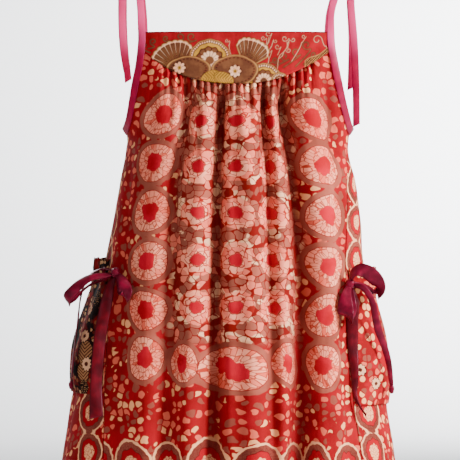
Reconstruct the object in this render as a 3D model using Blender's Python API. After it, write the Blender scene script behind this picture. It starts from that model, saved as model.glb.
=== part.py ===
"""A girl's sundress in a sarafan cut: yokes, gathered panels, ribbon ties, pockets and bows.

Metres, +Z up. The front faces -Y. The origin is midway between the shoulder knots that hold
the dress up. Every table below is in millimetres, and MM turns it to metres.
"""

import functools
import math

import bmesh
import bpy
import numpy as np
from mathutils import Vector

MM = 0.001

# Cloth and ribbon
WALL = 1.2
SEAM_GAP = 0.5
SIDE_INSET = 0.5
RIBBON_WALL = 1.0
SHOULDER_RIBBON = 7.8
POCKET_RIBBON = 12.0
RIBBON_OUTSET = 1.5
RIBBON_LIFT = 1.5
UNDERARM_LIFT = 1.2
UNDERARM_CUT = 0.55

# Heights
NECK_TOP = -75.0
YOKE_CORNER = -93.0
YOKE_DROP = 33.5
YOKE_MIDDLE = 3.0
UNDERARM = -178.0
HEM = -600.0

# Plan of the body at each height: half widths are measured from x = 0, power squares the oval
BODY_COLUMNS = ("z", "left", "right", "front", "back", "power")
BODY = (
    (-60, 130, 131, 58, 55, 2.5),
    (-110, 135, 136, 68, 67, 2.5),
    (-145, 125, 127, 73, 73, 2.45),
    (-164, 117, 119, 76, 76, 2.4),
    (-178, 111, 113, 78, 78, 2.4),
    (-192, 112, 112.5, 79.5, 79, 2.4),
    (-222, 118, 119, 82, 80, 2.35),
    (-262, 124, 125, 85, 82, 2.3),
    (-302, 131, 128, 89, 85, 2.25),
    (-342, 141, 134, 94, 89, 2.2),
    (-392, 154, 142, 100, 95, 2.15),
    (-442, 166, 151, 106, 101, 2.1),
    (-501, 176, 160, 113, 108, 2.1),
    (-600, 189, 172, 122, 118, 2.1),
)

# Armhole edges stand this far out in x, the same in front and behind
ARMHOLE_COLUMNS = ("z", "left", "right")
ARMHOLE = (
    (-60, -93.5, 92),
    (-93, -94, 93),
    (-109, -96, 96),
    (-128, -100, 100),
    (-147, -103.5, 104.5),
    (-162, -106.5, 108.5),
    (-171, -108.6, 110.8),
)

# Side seams lie this far forward in y, since the back panel wraps round to the front
SEAM_COLUMNS = ("z", "left", "right")
SEAM = (
    (-178, 0, 0),
    (-192, -10, -19),
    (-218, -20, -37),
    (-254, -26, -46),
    (-298, -32, -53),
    (-372, -54, -62),
    (-443, -69, -70),
    (-502, -79, -73),
    (-600, -90, -78),
)

# Folds that run down a panel. at_ columns place the fold's middle along the cloth at four
# heights. A negative depth is a ridge. half_top and half_low are its half widths.
FOLD_HEIGHTS = (-145.0, -200.0, -290.0, -420.0, -600.0)
FOLD_COLUMNS = ("at_145", "at_200", "at_290", "at_420", "at_600",
                "depth_top", "depth_low", "half_top", "half_low")
FRONT_FOLDS = (
    (-100, -108, -113, -119, -127, 0.5, 3.5, 6, 10),
    (-46, -60, -66, -69, -76, 3.0, 3.5, 8, 13),
    (-16, -19, -21, -23, -28, 5.0, 8.0, 4.5, 13),
    (26, 33, 34, 35, 36, 4.5, 1.0, 5, 8),
    (47, 57, 66, 66, 60, 6.0, 8.0, 5.5, 17),
    (90, 99, 104, 106, 118, 4.0, 3.0, 6, 9),
    (7, 11, 13, 16, 18, -3.5, -4.5, 9, 17),
    (-31, -36, -42, -46, -52, -2.0, -2.0, 7, 10),
    (72, 80, 90, 97, 104, -2.5, -4.0, 9, 16),
    (-76, -84, -89, -94, -100, -2.0, -3.5, 12, 18),
)
# On the back the middle is measured along the cloth from the centre back
BACK_FOLDS = (
    (-168, -150, -168, -196, -226, 1.0, 5.0, 9, 15),
    (-98, -108, -118, -134, -158, 2.0, -4.0, 10, 17),
    (-60, -70, -82, -96, -112, 4.0, 6.5, 6, 14),
    (-34, -40, -48, -60, -74, -2.5, -4.0, 8, 15),
    (-12, -14, -20, -26, -34, 4.5, 6.5, 5, 13),
    (14, 14, 10, 8, 6, -3.0, -4.5, 9, 17),
    (38, 42, 46, 50, 52, 5.0, 7.5, 5, 14),
    (66, 74, 84, 92, 98, -2.5, -4.0, 8, 17),
    (90, 104, 120, 138, 146, 3.0, 6.0, 7, 15),
    (120, 132, 156, 182, 204, -1.0, -4.5, 10, 18),
    (160, 158, 184, 214, 246, 1.0, 5.0, 9, 14),
)
FOLDS_START = 30.0

# Small gathers under each yoke, as shares of the seam's length
GATHERS = 23
GATHER_FROM = 0.13
GATHER_TO = 0.88
GATHER_HEIGHT = 1.5
GATHER_FADE = 17.0
EDGE_COLUMNS = 5
BACK_EDGE_COLUMNS = 7
PANEL_ROWS = (0.0, 0.009, 0.022, 0.04, 0.068, 0.10, 0.13, 0.152, 0.167, 0.21, 0.26, 0.32, 0.39, 0.47,
              0.56, 0.66, 0.77, 0.88, 1.0)
# A panel's threads run evenly from its middle, and only those near an edge follow its curve
EVEN_HEIGHTS = (-95.0, -300.0, -600.0)
EDGE_PULL = 4

# Pockets: top and bottom height, width along the cloth, and how far the pouch stands out
POCKET_COLUMNS = ("side", "top", "casing", "bottom", "width", "stand")
POCKETS = (
    ("left", -301, -314, -435, 112, 11.5),
    ("right", -310, -323, -446, 108, 10.5),
)
POCKET_GATHERS = 9
POCKET_ROWS = (0.0, 0.045, 0.09, 0.14, 0.22, 0.33, 0.46, 0.60, 0.74, 0.87, 1.0)

# Ribbon routes: x, y, z, then roll (0 faces the front, 90 shows its edge) and width as a share
ROUTE_COLUMNS = ("x", "y", "z", "roll", "width")
STRAPS = {
    "front_left": ((-95, -47.5, -64, -14, 1), (-95.8, -43, -50, -8, 1), (-97.4, -36, -34, 0, 1),
                   (-99.6, -23, -14, 0, 1), (-101, -10, -3, 0, 0.8)),
    "front_right": ((92.8, -48, -64, 12, 0.85), (94.4, -44, -52, 8, 0.9),
                    (98.6, -36.5, -36, 4, 1), (101.8, -23, -14, 0, 1), (103.2, -10, -3, 0, 0.8)),
    "back_left": ((-95, 45, -64, -14, 1), (-95.8, 41, -50, -8, 1), (-97.4, 34.5, -34, 0, 1),
                  (-99.6, 22.5, -14, 0, 1), (-101, 10, -3, 0, 0.8)),
    "back_right": ((92.8, 45.5, -64, 12, 0.85), (94.4, 42, -52, 8, 0.9),
                   (98.6, 35, -36, 4, 1), (101.8, 22.5, -14, 0, 1), (103.2, 10, -3, 0, 0.8)),
}
# Knots: middle and half sizes. An oval power rounds each lump, a little squarer than a ball.
KNOTS = {
    "shoulder_knot_left": ((-103, 0, 0), (8, 8.6, 6.5)),
    "shoulder_knot_right": ((105, 0, 0), (8, 8.6, 6.5)),
    "bow_knot_left": ((-120.5, -54.2, -314.5), (4.6, 5.2, 5.4)),
    "bow_knot_right": ((112, -61.3, -325.5), (4.6, 4.8, 5.4)),
    "end_knot_left": ((-165.6, -39, -426.6), (2.3, 2.6, 4.4)),
    "end_knot_right": ((154, -44.1, -430.4), (2.6, 2.4, 4.8)),
}
KNOT_POWER = 2.5
KNOT_SEAT = 0.7
ROUTE_STEP = 4.5

# Free ribbons: name, ribbon width, the knot it starts at, the knot it ends at, and its route
RIBBON_COLUMNS = ("name", "width", "start", "end", "route")
RIBBONS = (
    ("tie_end_front_left", SHOULDER_RIBBON, "shoulder_knot_left", None, (
        (-110.5, -6.5, -8, 5, 0.65), (-114.6, -12, -22, 0, 1), (-115.4, -15, -45, 0, 1),
        (-115, -16, -72, -4, 1), (-113.2, -17, -94, -6, 1), (-110.6, -18, -110, -8, 1))),
    ("tie_end_back_left", SHOULDER_RIBBON, "shoulder_knot_left", None, (
        (-110.5, 6.5, -8, 5, 0.65), (-114.4, 11, -22, 0, 1), (-115.2, 14, -46, 4, 1),
        (-114.4, 16, -76, 6, 0.9), (-112.5, 18, -100, 4, 0.9), (-110.2, 19, -121, 0, 0.9))),
    ("tie_end_front_right", SHOULDER_RIBBON, "shoulder_knot_right", None, (
        (112.2, -6.5, -8.5, 0, 0.6), (113.2, -10, -24, 0, 0.95), (114.8, -13, -50, 4, 0.95),
        (117.6, -14, -82, 2, 0.95), (119.4, -15, -120, 0, 0.9), (120, -15, -167, -4, 0.9))),
    ("tie_end_back_right", SHOULDER_RIBBON, "shoulder_knot_right", None, (
        (112.2, 6.5, -8.5, 0, 0.6), (113.6, 11, -24, 0, 0.95), (115.4, 14, -52, -4, 0.95),
        (116.6, 17, -84, -3, 0.9), (116.2, 18, -108, 0, 0.9), (115.2, 18, -129, 4, 0.8))),
    ("bow_left_loop_outer", POCKET_RIBBON, "bow_knot_left", "bow_knot_left", (
        (-126.2, -56, -316, 62, 0.5), (-133, -57, -317, 58, 0.7), (-144, -58, -318.5, 52, 0.85),
        (-154, -59, -324, 40, 1), (-163, -59, -332.5, 28, 1), (-169, -56.5, -339.5, 45, 1),
        (-168.5, -51.5, -343.5, 92, 0.9), (-162.5, -49, -341, 108, 0.85),
        (-155, -48, -333, 108, 0.8), (-145, -48.5, -325.5, 104, 0.75),
        (-134, -51, -321.5, 100, 0.6), (-126.2, -53.5, -318.5, 96, 0.4))),
    ("bow_left_loop_inner", POCKET_RIBBON, "bow_knot_left", "bow_knot_left", (
        (-115.4, -63, -318, -8, 0.5), (-113, -70, -323, -4, 0.85),
        (-111, -73, -328.5, 2, 1.1), (-109.5, -74, -334.5, 30, 1.15), (-110.5, -71.5, -338.5, 80, 1.1),
        (-112.6, -68.5, -336, 150, 0.95), (-114, -67, -330, 168, 0.75), (-116, -61.8, -322, 175, 0.4))),
    ("bow_left_end_front", POCKET_RIBBON, "bow_knot_left", None, (
        (-123.6, -57, -321, 12, 0.45), (-125.8, -61, -328, 16, 0.7), (-128.5, -64, -340, 12, 0.95),
        (-133, -67, -362, 4, 1), (-137, -71, -392, -4, 1), (-139, -75, -425, -6, 1),
        (-139, -79.5, -457, 6, 1.15))),
    ("bow_left_end_side", POCKET_RIBBON, "bow_knot_left", "end_knot_left", (
        (-125.6, -51, -311.4, 80, 0.4), (-133, -46, -310.5, 84, 0.55), (-143, -42, -313.5, 88, 0.7),
        (-150.5, -38.5, -322, 90, 0.8), (-155.5, -37.5, -336, 88, 0.85), (-157.6, -37.5, -350, 88, 0.85),
        (-160, -38, -372, 86, 0.85), (-163.5, -38.5, -398, 84, 0.85), (-165.2, -39, -421, 84, 0.5))),
    ("bow_right_loop_outer", POCKET_RIBBON, "bow_knot_right", "bow_knot_right", (
        (112.5, -64.3, -319, 40, 0.45), (115.5, -67.3, -313.5, 26, 0.8), (121.5, -69.3, -311.5, 20, 1.1),
        (129.5, -69.3, -314, 14, 1.25), (136.5, -67.8, -320, 16, 1.25), (141, -64.3, -328.5, 40, 1.15),
        (139.8, -58.8, -335, 88, 1.1), (134, -55.8, -333.5, 118, 1), (127, -56.3, -328.5, 128, 0.8),
        (118.4, -59.7, -325, 132, 0.45))),
    ("bow_right_loop_inner", POCKET_RIBBON, "bow_knot_right", "bow_knot_right", (
        (109.4, -67.8, -330.5, 4, 0.5), (107.6, -73.3, -337.5, 4, 0.95), (106.8, -76.3, -346.5, 2, 1.3),
        (107.4, -77.3, -355.5, 34, 1.35), (109.8, -73.8, -359, 88, 1.3), (112, -70.8, -352, 158, 1.1),
        (112.6, -69.3, -343, 168, 0.8), (112.4, -66.8, -334.6, 172, 0.45))),
    ("bow_right_end_front", POCKET_RIBBON, "bow_knot_right", None, (
        (114.4, -63.3, -334, 0, 0.4), (115.8, -62.8, -343, 0, 0.8), (114.2, -64.3, -362, 0, 0.95),
        (114.6, -67.3, -390, 2, 0.85), (116.4, -71.3, -418, 8, 0.62), (116.8, -74.3, -438, 30, 0.34),
        (121.5, -75.8, -447, 50, 0.28), (127.5, -76.3, -455.5, 40, 0.28))),
    ("bow_right_end_side", POCKET_RIBBON, "bow_knot_right", "end_knot_right", (
        (118.2, -64.3, -328, 20, 0.4), (123.5, -67.3, -328.6, 24, 0.5), (129.5, -67.3, -334.5, 20, 0.5),
        (134, -66.3, -343.5, 14, 0.52), (136.6, -63.3, -356, 6, 0.55), (139.6, -59.8, -370, 4, 0.6),
        (145, -55.3, -384, 2, 0.55), (150.4, -50.3, -402, 10, 0.5), (153.4, -45.3, -424, 40, 0.35))),
)

COLOURS = {
    "yoke": (0.30, 0.10, 0.06),
    "panel": (0.52, 0.03, 0.02),
    "pocket_left": (0.12, 0.02, 0.015),
    "ribbon": (0.42, 0.02, 0.07),
}


def column(table, names, name):
    return np.array([row[names.index(name)] for row in table], float)


def smooth_curve(heights, values, z):
    """A smooth curve through the values, which are listed from the top down."""
    at, known = -np.asarray(heights, float), np.asarray(values, float)
    slope = np.gradient(known, at)
    place = np.clip(-np.asarray(z, float), at[0], at[-1])
    i = np.clip(np.searchsorted(at, place) - 1, 0, len(at) - 2)
    gap = at[i + 1] - at[i]
    t = (place - at[i]) / gap
    return (known[i] * (1 + 2 * t) * (1 - t) ** 2 + gap * slope[i] * t * (1 - t) ** 2
            + known[i + 1] * t * t * (3 - 2 * t) + gap * slope[i + 1] * t * t * (t - 1))


@functools.cache
def body_at(z):
    """Left, right, front and back reach of the body's plan, and its power, at a height."""
    heights = column(BODY, BODY_COLUMNS, "z")
    return [float(smooth_curve(heights, column(BODY, BODY_COLUMNS, name), z))
            for name in BODY_COLUMNS[1:]]


def plan_points(z, turns):
    """Points of the body's plan. A turn of 0 is the centre front, 90 degrees the right side."""
    left, right, front, back, power = body_at(z)
    middle, half = (right - left) / 2, (right + left) / 2
    sine, cosine = np.sin(turns), np.cos(turns)
    x = middle + half * np.sign(sine) * np.abs(sine) ** (2 / power)
    deep = np.where(cosine > 0, front, back)
    y = -deep * np.sign(cosine) * np.abs(cosine) ** (2 / power)
    return np.stack([x, y], axis=-1)


def turn_of_x(z, x):
    """The turn in the front half at which the plan reaches x."""
    left, right, _, _, power = body_at(z)
    middle, half = (right - left) / 2, (right + left) / 2
    share = np.clip((x - middle) / half, -1, 1)
    return math.asin(math.copysign(abs(share) ** (power / 2), share))


def turn_of_y(z, y, side):
    """The turn in the front half at which the plan is this far forward, on one side."""
    front, power = body_at(z)[2], body_at(z)[4]
    return side * math.acos(np.clip(-y / front, 0, 1) ** (power / 2))


@functools.cache
def edge_rows():
    """The front panel's edges as turns: armholes, then side seams."""
    rows = [(z, turn_of_x(z, left), turn_of_x(z, right)) for z, left, right in ARMHOLE]
    rows += [(z, turn_of_y(z, left, -1), turn_of_y(z, right, 1)) for z, left, right in SEAM]
    return np.array(rows)


def panel_edges(z, panel):
    """A panel's two edges as turns, in the order that its columns run."""
    rows = edge_rows()
    left = float(smooth_curve(rows[:, 0], rows[:, 1], z))
    right = float(smooth_curve(rows[:, 0], rows[:, 2], z))
    if panel == "front":
        return left, right
    if z > UNDERARM:
        return math.pi - right, math.pi - left
    return right, 2 * math.pi + left


def yoke_edge(x):
    """Height of the yoke's bowed lower edge."""
    middle, left, right = YOKE_MIDDLE, ARMHOLE[1][1], ARMHOLE[1][2]
    share = np.where(x < middle, (x - middle) / (left - middle), (x - middle) / (right - middle))
    power = np.where(x < middle, 2.6, 2.1)
    return YOKE_CORNER - YOKE_DROP * (1 - np.clip(share, 0, 1) ** power)


@functools.cache
def strip(z, panel):
    return Strip(z, panel)


class Strip:
    """The plan of one panel at one height, walked from its middle in millimetres of cloth."""

    def __init__(self, z, panel):
        start, end = panel_edges(z, panel)
        middle = 0 if panel == "front" else math.pi
        turns = np.concatenate([np.linspace(start, middle, 141)[:-1], np.linspace(middle, end, 141)])
        self.points = plan_points(z, turns)
        steps = np.linalg.norm(np.diff(self.points, axis=0), axis=1)
        self.walk = np.concatenate([[0], np.cumsum(steps)])
        self.walk -= self.walk[140]
        self.edges = self.walk[0] + SIDE_INSET, self.walk[-1] - SIDE_INSET
        along = np.gradient(self.points, axis=0)
        along /= np.linalg.norm(along, axis=1)[:, None]
        self.out = np.stack([along[:, 1], -along[:, 0]], axis=1)

    def at(self, walked):
        """Point and outward direction at a distance from the middle."""
        point = [np.interp(walked, self.walk, self.points[:, k]) for k in (0, 1)]
        out = [np.interp(walked, self.walk, self.out[:, k]) for k in (0, 1)]
        return np.array(point), np.array(out)


@functools.cache
def even_edges(panel):
    return np.array([strip(z, panel).edges for z in EVEN_HEIGHTS])


def walked_to(share, z, panel):
    """How far from the middle a thread lies, from its share of the yoke seam."""
    edges = strip(z, panel).edges
    side = 0 if share < 0.5 else 1
    even = abs(float(smooth_curve(EVEN_HEIGHTS, even_edges(panel)[:, side], z)))
    out = abs(2 * share - 1)
    reach = even * out + (abs(edges[side]) - even) * out ** EDGE_PULL
    return reach * (-1, 1)[side]


def on_plan(share, z, panel):
    """Point, outward direction and distance from the middle of a thread at a height."""
    z = round(z, 1)
    walked = walked_to(share, z, panel)
    return *strip(z, panel).at(walked), walked


def fold_depth(folds, z, along):
    """How far all folds push the cloth in, at a place along it."""
    pushed = 0.0
    fall = (FOLD_HEIGHTS[0] - z) / (FOLD_HEIGHTS[0] - HEM)
    low = min(1.0, max(0.0, fall))
    for fold in folds:
        middle = float(smooth_curve(FOLD_HEIGHTS, fold[:5], z))
        depth = fold[5] + (fold[6] - fold[5]) * low ** 0.6
        half = fold[7] + (fold[8] - fold[7]) * low
        pushed += depth * math.exp(-((along - middle) / half) ** 2)
    return pushed


def gather_wave(share, drop):
    """Height of the small gathers at a share of the seam and a drop below it."""
    run = (share - GATHER_FROM) / (GATHER_TO - GATHER_FROM)
    if not 0 <= run <= 1:
        return 0.0
    swell = min(1.0, 6 * run, 6 * (1 - run))
    uneven = 1 + 0.25 * math.sin(17 * run + 1)
    fade = math.exp(-(drop / GATHER_FADE) ** 1.4)
    return GATHER_HEIGHT * swell * uneven * fade * math.cos(2 * math.pi * GATHERS * run)


def panel_columns(edge_columns):
    """Shares of the seam: a column at each gather's top and hollow, and a few at the sides."""
    waves = np.linspace(GATHER_FROM, GATHER_TO, 2 * GATHERS + 1)
    left = np.linspace(0, GATHER_FROM, edge_columns + 1)[:-1]
    right = np.linspace(GATHER_TO, 1, edge_columns + 1)[1:]
    return np.concatenate([left, waves, right])


def panel_grid(panel):
    """Outer points and outward directions of a panel, rows from the yoke down to the hem."""
    folds = FRONT_FOLDS if panel == "front" else BACK_FOLDS
    columns = panel_columns(EDGE_COLUMNS if panel == "front" else BACK_EDGE_COLUMNS)
    points = np.zeros((len(PANEL_ROWS), len(columns), 3))
    outs = np.zeros_like(points)
    for c, share in enumerate(columns):
        top = -110.0
        for _ in range(6):
            top = float(yoke_edge(on_plan(share, top, panel)[0][0])) - SEAM_GAP
        for r, down in enumerate(PANEL_ROWS):
            z = top + (HEM - top) * down
            point, out, walked = on_plan(share, z, panel)
            along = point[0] if panel == "front" else walked
            grown = min(1.0, (top - z) / FOLDS_START) ** 1.5 if z < top else 0.0
            push = -grown * fold_depth(folds, z, along)
            # The edges stay on the seam, so that front and back meet there
            calm = min(1.0, min(share, 1 - share) * 16)
            push = push * calm + gather_wave(share, top - z)
            points[r, c] = (*(point + out * push), z)
            outs[r, c] = (*out, 0)
    return points, outs


def yoke_grid(panel):
    rows, columns = 6, 34
    points = np.zeros((rows, columns + 1, 3))
    for c in range(columns + 1):
        share = c / columns
        low = -110.0
        for _ in range(6):
            low = float(yoke_edge(on_plan(share, low, panel)[0][0]))
        for r in range(rows):
            z = NECK_TOP + (low - NECK_TOP) * r / (rows - 1)
            point = on_plan(share, z, panel)[0]
            points[r, c] = (*point, z)
    return points


def material(name, colour, roughness):
    made = bpy.data.materials.new(name)
    made.use_nodes = True
    shader = made.node_tree.nodes["Principled BSDF"]
    shader.inputs["Base Color"].default_value = (*colour, 1)
    shader.inputs["Roughness"].default_value = roughness
    return made


def add_object(name, mesh, finish):
    made = bpy.data.objects.new(name, mesh)
    bpy.context.scene.collection.objects.link(made)
    mesh.materials.append(finish)
    mesh.shade_smooth()
    mesh.set_sharp_from_angle(angle=math.radians(60))
    return made


def cloth_object(name, points, finish, wall=WALL):
    """A sheet through a grid of outer points, with its wall on the inner side."""
    rows, columns = points.shape[:2]
    sheet = bmesh.new()
    bmesh.ops.create_grid(sheet, x_segments=columns - 1, y_segments=rows - 1, size=1)
    sheet.verts.ensure_lookup_table()
    order = sorted(sheet.verts, key=lambda v: (-round(v.co.y, 5), round(v.co.x, 5)))
    for vert, place in zip(order, points.reshape(-1, 3)):
        vert.co = Vector(place) * MM
    bmesh.ops.triangulate(sheet, faces=sheet.faces)
    mesh = bpy.data.meshes.new(name)
    sheet.to_mesh(mesh)
    sheet.free()
    made = add_object(name, mesh, finish)
    shell = made.modifiers.new("Cloth wall", "SOLIDIFY")
    shell.thickness = wall * MM
    shell.offset = -1
    return made


def on_grid(points, row, col):
    """A place on a grid of points, between its rows and columns."""
    r = int(min(row, len(points) - 2))
    c = int(min(col, points.shape[1] - 2))
    u, v = row - r, col - c
    return ((1 - u) * ((1 - v) * points[r, c] + v * points[r, c + 1])
            + u * ((1 - v) * points[r + 1, c] + v * points[r + 1, c + 1]))


def ribbon_object(name, places, facings, widths, finish):
    """A flat ribbon along places, turned to its facings. Both are lists of vectors in mm."""
    tape = bmesh.new()
    last = None
    for i, place in enumerate(places):
        ahead = places[min(i + 1, len(places) - 1)] - places[max(i - 1, 0)]
        ahead = Vector(ahead).normalized()
        facing = Vector(facings[i])
        facing = (facing - ahead * facing.dot(ahead)).normalized()
        across = ahead.cross(facing)
        ring = []
        for side, lift in ((-1, 0.5), (1, 0.5), (1, -0.5), (-1, -0.5)):
            corner = Vector(place) + across * side * widths[i] / 2 + facing * lift * RIBBON_WALL
            ring.append(tape.verts.new(corner * MM))
        if last is None:
            tape.faces.new(ring)
        else:
            for k in range(4):
                tape.faces.new((last[k], last[(k + 1) % 4], ring[(k + 1) % 4], ring[k]))
        last = ring
    tape.faces.new(tuple(reversed(last)))
    bmesh.ops.recalc_face_normals(tape, faces=tape.faces)
    mesh = bpy.data.meshes.new(name)
    tape.to_mesh(mesh)
    tape.free()
    return add_object(name, mesh, finish)


def smooth_route(route):
    """Places, rolls and width shares read from a smooth curve through a route's rows."""
    rows = np.array(route, float)
    steps = np.linalg.norm(np.diff(rows[:, :3], axis=0), axis=1)
    walk = np.concatenate([[0], np.cumsum(steps)])
    count = max(4, round(walk[-1] / ROUTE_STEP))
    at = np.linspace(0, walk[-1], count + 1)
    return np.stack([smooth_curve(-walk, rows[:, k], -at) for k in range(5)], axis=1)


def rolled_facings(samples):
    """Facing directions: the roll turns the ribbon about its own line, from facing the front."""
    facings = []
    for i, sample in enumerate(samples):
        ahead = Vector(samples[min(i + 1, len(samples) - 1), :3] - samples[max(i - 1, 0), :3])
        ahead.normalize()
        front = Vector((0, -1, 0))
        front = (front - ahead * front.dot(ahead)).normalized()
        side = ahead.cross(front)
        if ahead.z > 0:
            side = -side
        roll = math.radians(sample[3])
        facings.append(front * math.cos(roll) + side * math.sin(roll))
    return facings


def seated(place, knot):
    """The row of a route moved in to the surface of a knot, less the gap."""
    centre, half = (np.array(value, float) for value in KNOTS[knot])
    away = np.array(place[:3], float) - centre
    reach = np.sum(np.abs(away / half) ** KNOT_POWER) ** (-1 / KNOT_POWER)
    surface = centre + away * reach + away / np.linalg.norm(away) * KNOT_SEAT
    return (*surface, *place[3:])


def free_ribbon(name, width, start, end, route, finish):
    route = list(route)
    if start:
        route[0] = seated(route[0], start)
    if end:
        route[-1] = seated(route[-1], end)
    samples = smooth_route(route)
    places = [samples[i, :3] for i in range(len(samples))]
    return ribbon_object(name, places, rolled_facings(samples), samples[:, 4] * width, finish)


def armhole_ribbon(name, panel, side, yoke, points, strap, finish):
    """The ribbon that lies on an armhole edge, then runs on as a strap to the knot."""
    first, second = (0, 1) if (side == "left") == (panel == "front") else (-1, -2)
    places, facings, widths = [], [], []
    edge, inner = list(yoke[:-1, first]), list(yoke[:-1, second])
    for row in points:
        if row[first][2] > UNDERARM - 1:
            edge.append(row[first])
            inner.append(row[second])
    # Front and back ribbon stop short of each other at the underarm
    edge[-1] = edge[-2] + (edge[-1] - edge[-2]) * UNDERARM_CUT
    inner[-1] = inner[-2] + (inner[-1] - inner[-2]) * UNDERARM_CUT
    for r in range(len(edge) - 1, -1, -1):
        up = Vector(edge[max(r - 1, 0)] - edge[min(r + 1, len(edge) - 1)]).normalized()
        across = Vector(inner[r] - edge[r])
        across = (across - up * across.dot(up)).normalized()
        facing = across.cross(up)
        if facing.dot(Vector((edge[r][0], edge[r][1], 0))) < 0:
            facing = -facing
        lift = RIBBON_LIFT + UNDERARM_LIFT * (r / len(edge)) ** 4
        places.append(np.array(Vector(edge[r]) + facing * lift - across * RIBBON_OUTSET))
        facings.append(facing)
        widths.append(SHOULDER_RIBBON)
    samples = smooth_route((*strap[:-1], seated(strap[-1], f"shoulder_knot_{side}")))
    for i, facing in enumerate(rolled_facings(samples)):
        if panel == "back" and facing.y < 0:
            facing = -facing
        places.append(samples[i, :3])
        facings.append(facing)
        widths.append(SHOULDER_RIBBON * samples[i, 4])
    return ribbon_object(name, places, facings, widths, finish)


def knot_object(name, centre, half, finish):
    """A tied knot: a rounded lump, a little squarer than a ball."""
    lump = bmesh.new()
    bmesh.ops.create_uvsphere(lump, u_segments=12, v_segments=8, radius=1)
    for vert in lump.verts:
        squarer = Vector([math.copysign(abs(v) ** (2 / KNOT_POWER), v) for v in vert.co])
        vert.co = Vector([centre[k] + squarer[k] * half[k] for k in range(3)]) * MM
    mesh = bpy.data.meshes.new(name)
    lump.to_mesh(mesh)
    lump.free()
    return add_object(name, mesh, finish)


def pocket_grid(pocket, panel_points, panel_outs):
    """Outer points of a pocket, made from the back panel's points and moved out."""
    side, top, casing, bottom, width, stand = pocket
    heights = panel_points[:, 0, 2] if side == "right" else panel_points[:, -1, 2]
    grid = np.zeros((len(POCKET_ROWS), 2 * POCKET_GATHERS + 3, 3))
    across = np.linspace(0, 1, grid.shape[1])
    for r, down in enumerate(POCKET_ROWS):
        z = top + (bottom - top) * down
        row = np.interp(-z, -heights, np.arange(len(heights)))
        line = np.array([on_grid(panel_points, row, c) for c in range(panel_points.shape[1])])
        outs = np.array([on_grid(panel_outs, row, c) for c in range(panel_points.shape[1])])
        if side == "left":
            line, outs = line[::-1], outs[::-1]
        walk = np.concatenate([[0], np.cumsum(np.linalg.norm(np.diff(line, axis=0), axis=1))])
        neck = math.exp(-((z - casing) / 9.0) ** 2)
        pouch = math.sin(math.pi * min(1.0, down / 0.78) ** 0.9 / 2) if down < 0.78 else 1.0
        close = math.cos(math.pi / 2 * max(0.0, (down - 0.5) / 0.5) ** 1.6)
        for c, share in enumerate(across):
            # A little in from the seam, and drawn in at the casing
            place = 1.5 + width * (share * (1 - 0.05 * neck) + 0.02 * neck)
            at = np.interp(place, walk, np.arange(len(walk)))
            base, out = on_grid(line[None].repeat(2, 0), 0, at), on_grid(outs[None].repeat(2, 0), 0, at)
            arch = math.sin(math.pi * share) ** 0.55 if 0 < share < 1 else 0.0
            mouth = 8.5 * (1 - min(1.0, down / 0.55))
            bulge = max(mouth, stand * pouch * close) * arch
            gather = 1.7 * math.exp(-((z - casing) / 14.0) ** 2) * arch
            wave = gather * math.cos(math.pi * c)
            lift = SEAM_GAP + WALL + bulge + wave + 0.5 * arch
            grid[r, c] = base + out * lift
            grid[r, c, 2] = z
    return grid if side == "right" else grid[:, ::-1]


def build():
    for old in list(bpy.data.objects):
        bpy.data.objects.remove(old, do_unlink=True)
    batik = material("Batik cotton", COLOURS["panel"], 0.85)
    yoke_batik = material("Yoke batik cotton", COLOURS["yoke"], 0.85)
    dark_batik = material("Dark batik cotton", COLOURS["pocket_left"], 0.85)
    satin = material("Satin ribbon", COLOURS["ribbon"], 0.4)

    grids = {panel: panel_grid(panel) for panel in ("front", "back")}
    for panel, (points, _) in grids.items():
        yoke = yoke_grid(panel)
        cloth_object(f"{panel}_panel", points, batik)
        cloth_object(f"{panel}_yoke", yoke, yoke_batik)
        for side in ("left", "right"):
            place = f"{panel}_{side}"
            ribbon = f"armhole_ribbon_{place}"
            armhole_ribbon(ribbon, panel, side, yoke, points, STRAPS[place], satin)
    for pocket in POCKETS:
        cloth = dark_batik if pocket[0] == "left" else batik
        cloth_object(f"pocket_{pocket[0]}", pocket_grid(pocket, *grids["back"]), cloth)
    for name, (centre, half) in KNOTS.items():
        knot_object(name, centre, half, satin)
    for row in RIBBONS:
        free_ribbon(*row, satin)


build()
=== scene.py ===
import math
from functools import partial

import bmesh
import bpy
import numpy as np
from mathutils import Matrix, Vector


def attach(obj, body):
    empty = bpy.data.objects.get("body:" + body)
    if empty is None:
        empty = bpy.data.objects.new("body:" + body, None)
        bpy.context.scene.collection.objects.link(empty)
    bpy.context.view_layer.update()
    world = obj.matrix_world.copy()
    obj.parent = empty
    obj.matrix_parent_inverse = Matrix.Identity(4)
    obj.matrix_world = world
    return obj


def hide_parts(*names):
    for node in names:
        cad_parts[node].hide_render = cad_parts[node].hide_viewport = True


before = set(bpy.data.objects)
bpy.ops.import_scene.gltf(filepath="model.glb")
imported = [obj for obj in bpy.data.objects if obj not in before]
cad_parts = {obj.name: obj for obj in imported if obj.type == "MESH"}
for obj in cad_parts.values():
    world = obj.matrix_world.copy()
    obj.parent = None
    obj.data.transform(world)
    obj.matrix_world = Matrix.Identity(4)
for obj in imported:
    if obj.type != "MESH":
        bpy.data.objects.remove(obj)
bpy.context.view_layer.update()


# Every table is in millimetres, and mm turns it to metres. The front faces -Y.
mm = 0.001
neckTop = -75.0
yokeCorner = -93.0
yokeDrop = 33.5
yokeMiddle = 3.0
underarm = -178.0
hem = -600.0
sideInset = 0.5
seamGap = 0.5
# Wall of each cloth as drawn
walls = {"panel": 0.7, "yoke": 1.0, "pocket": 0.7, "ribbon": 0.5}

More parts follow.
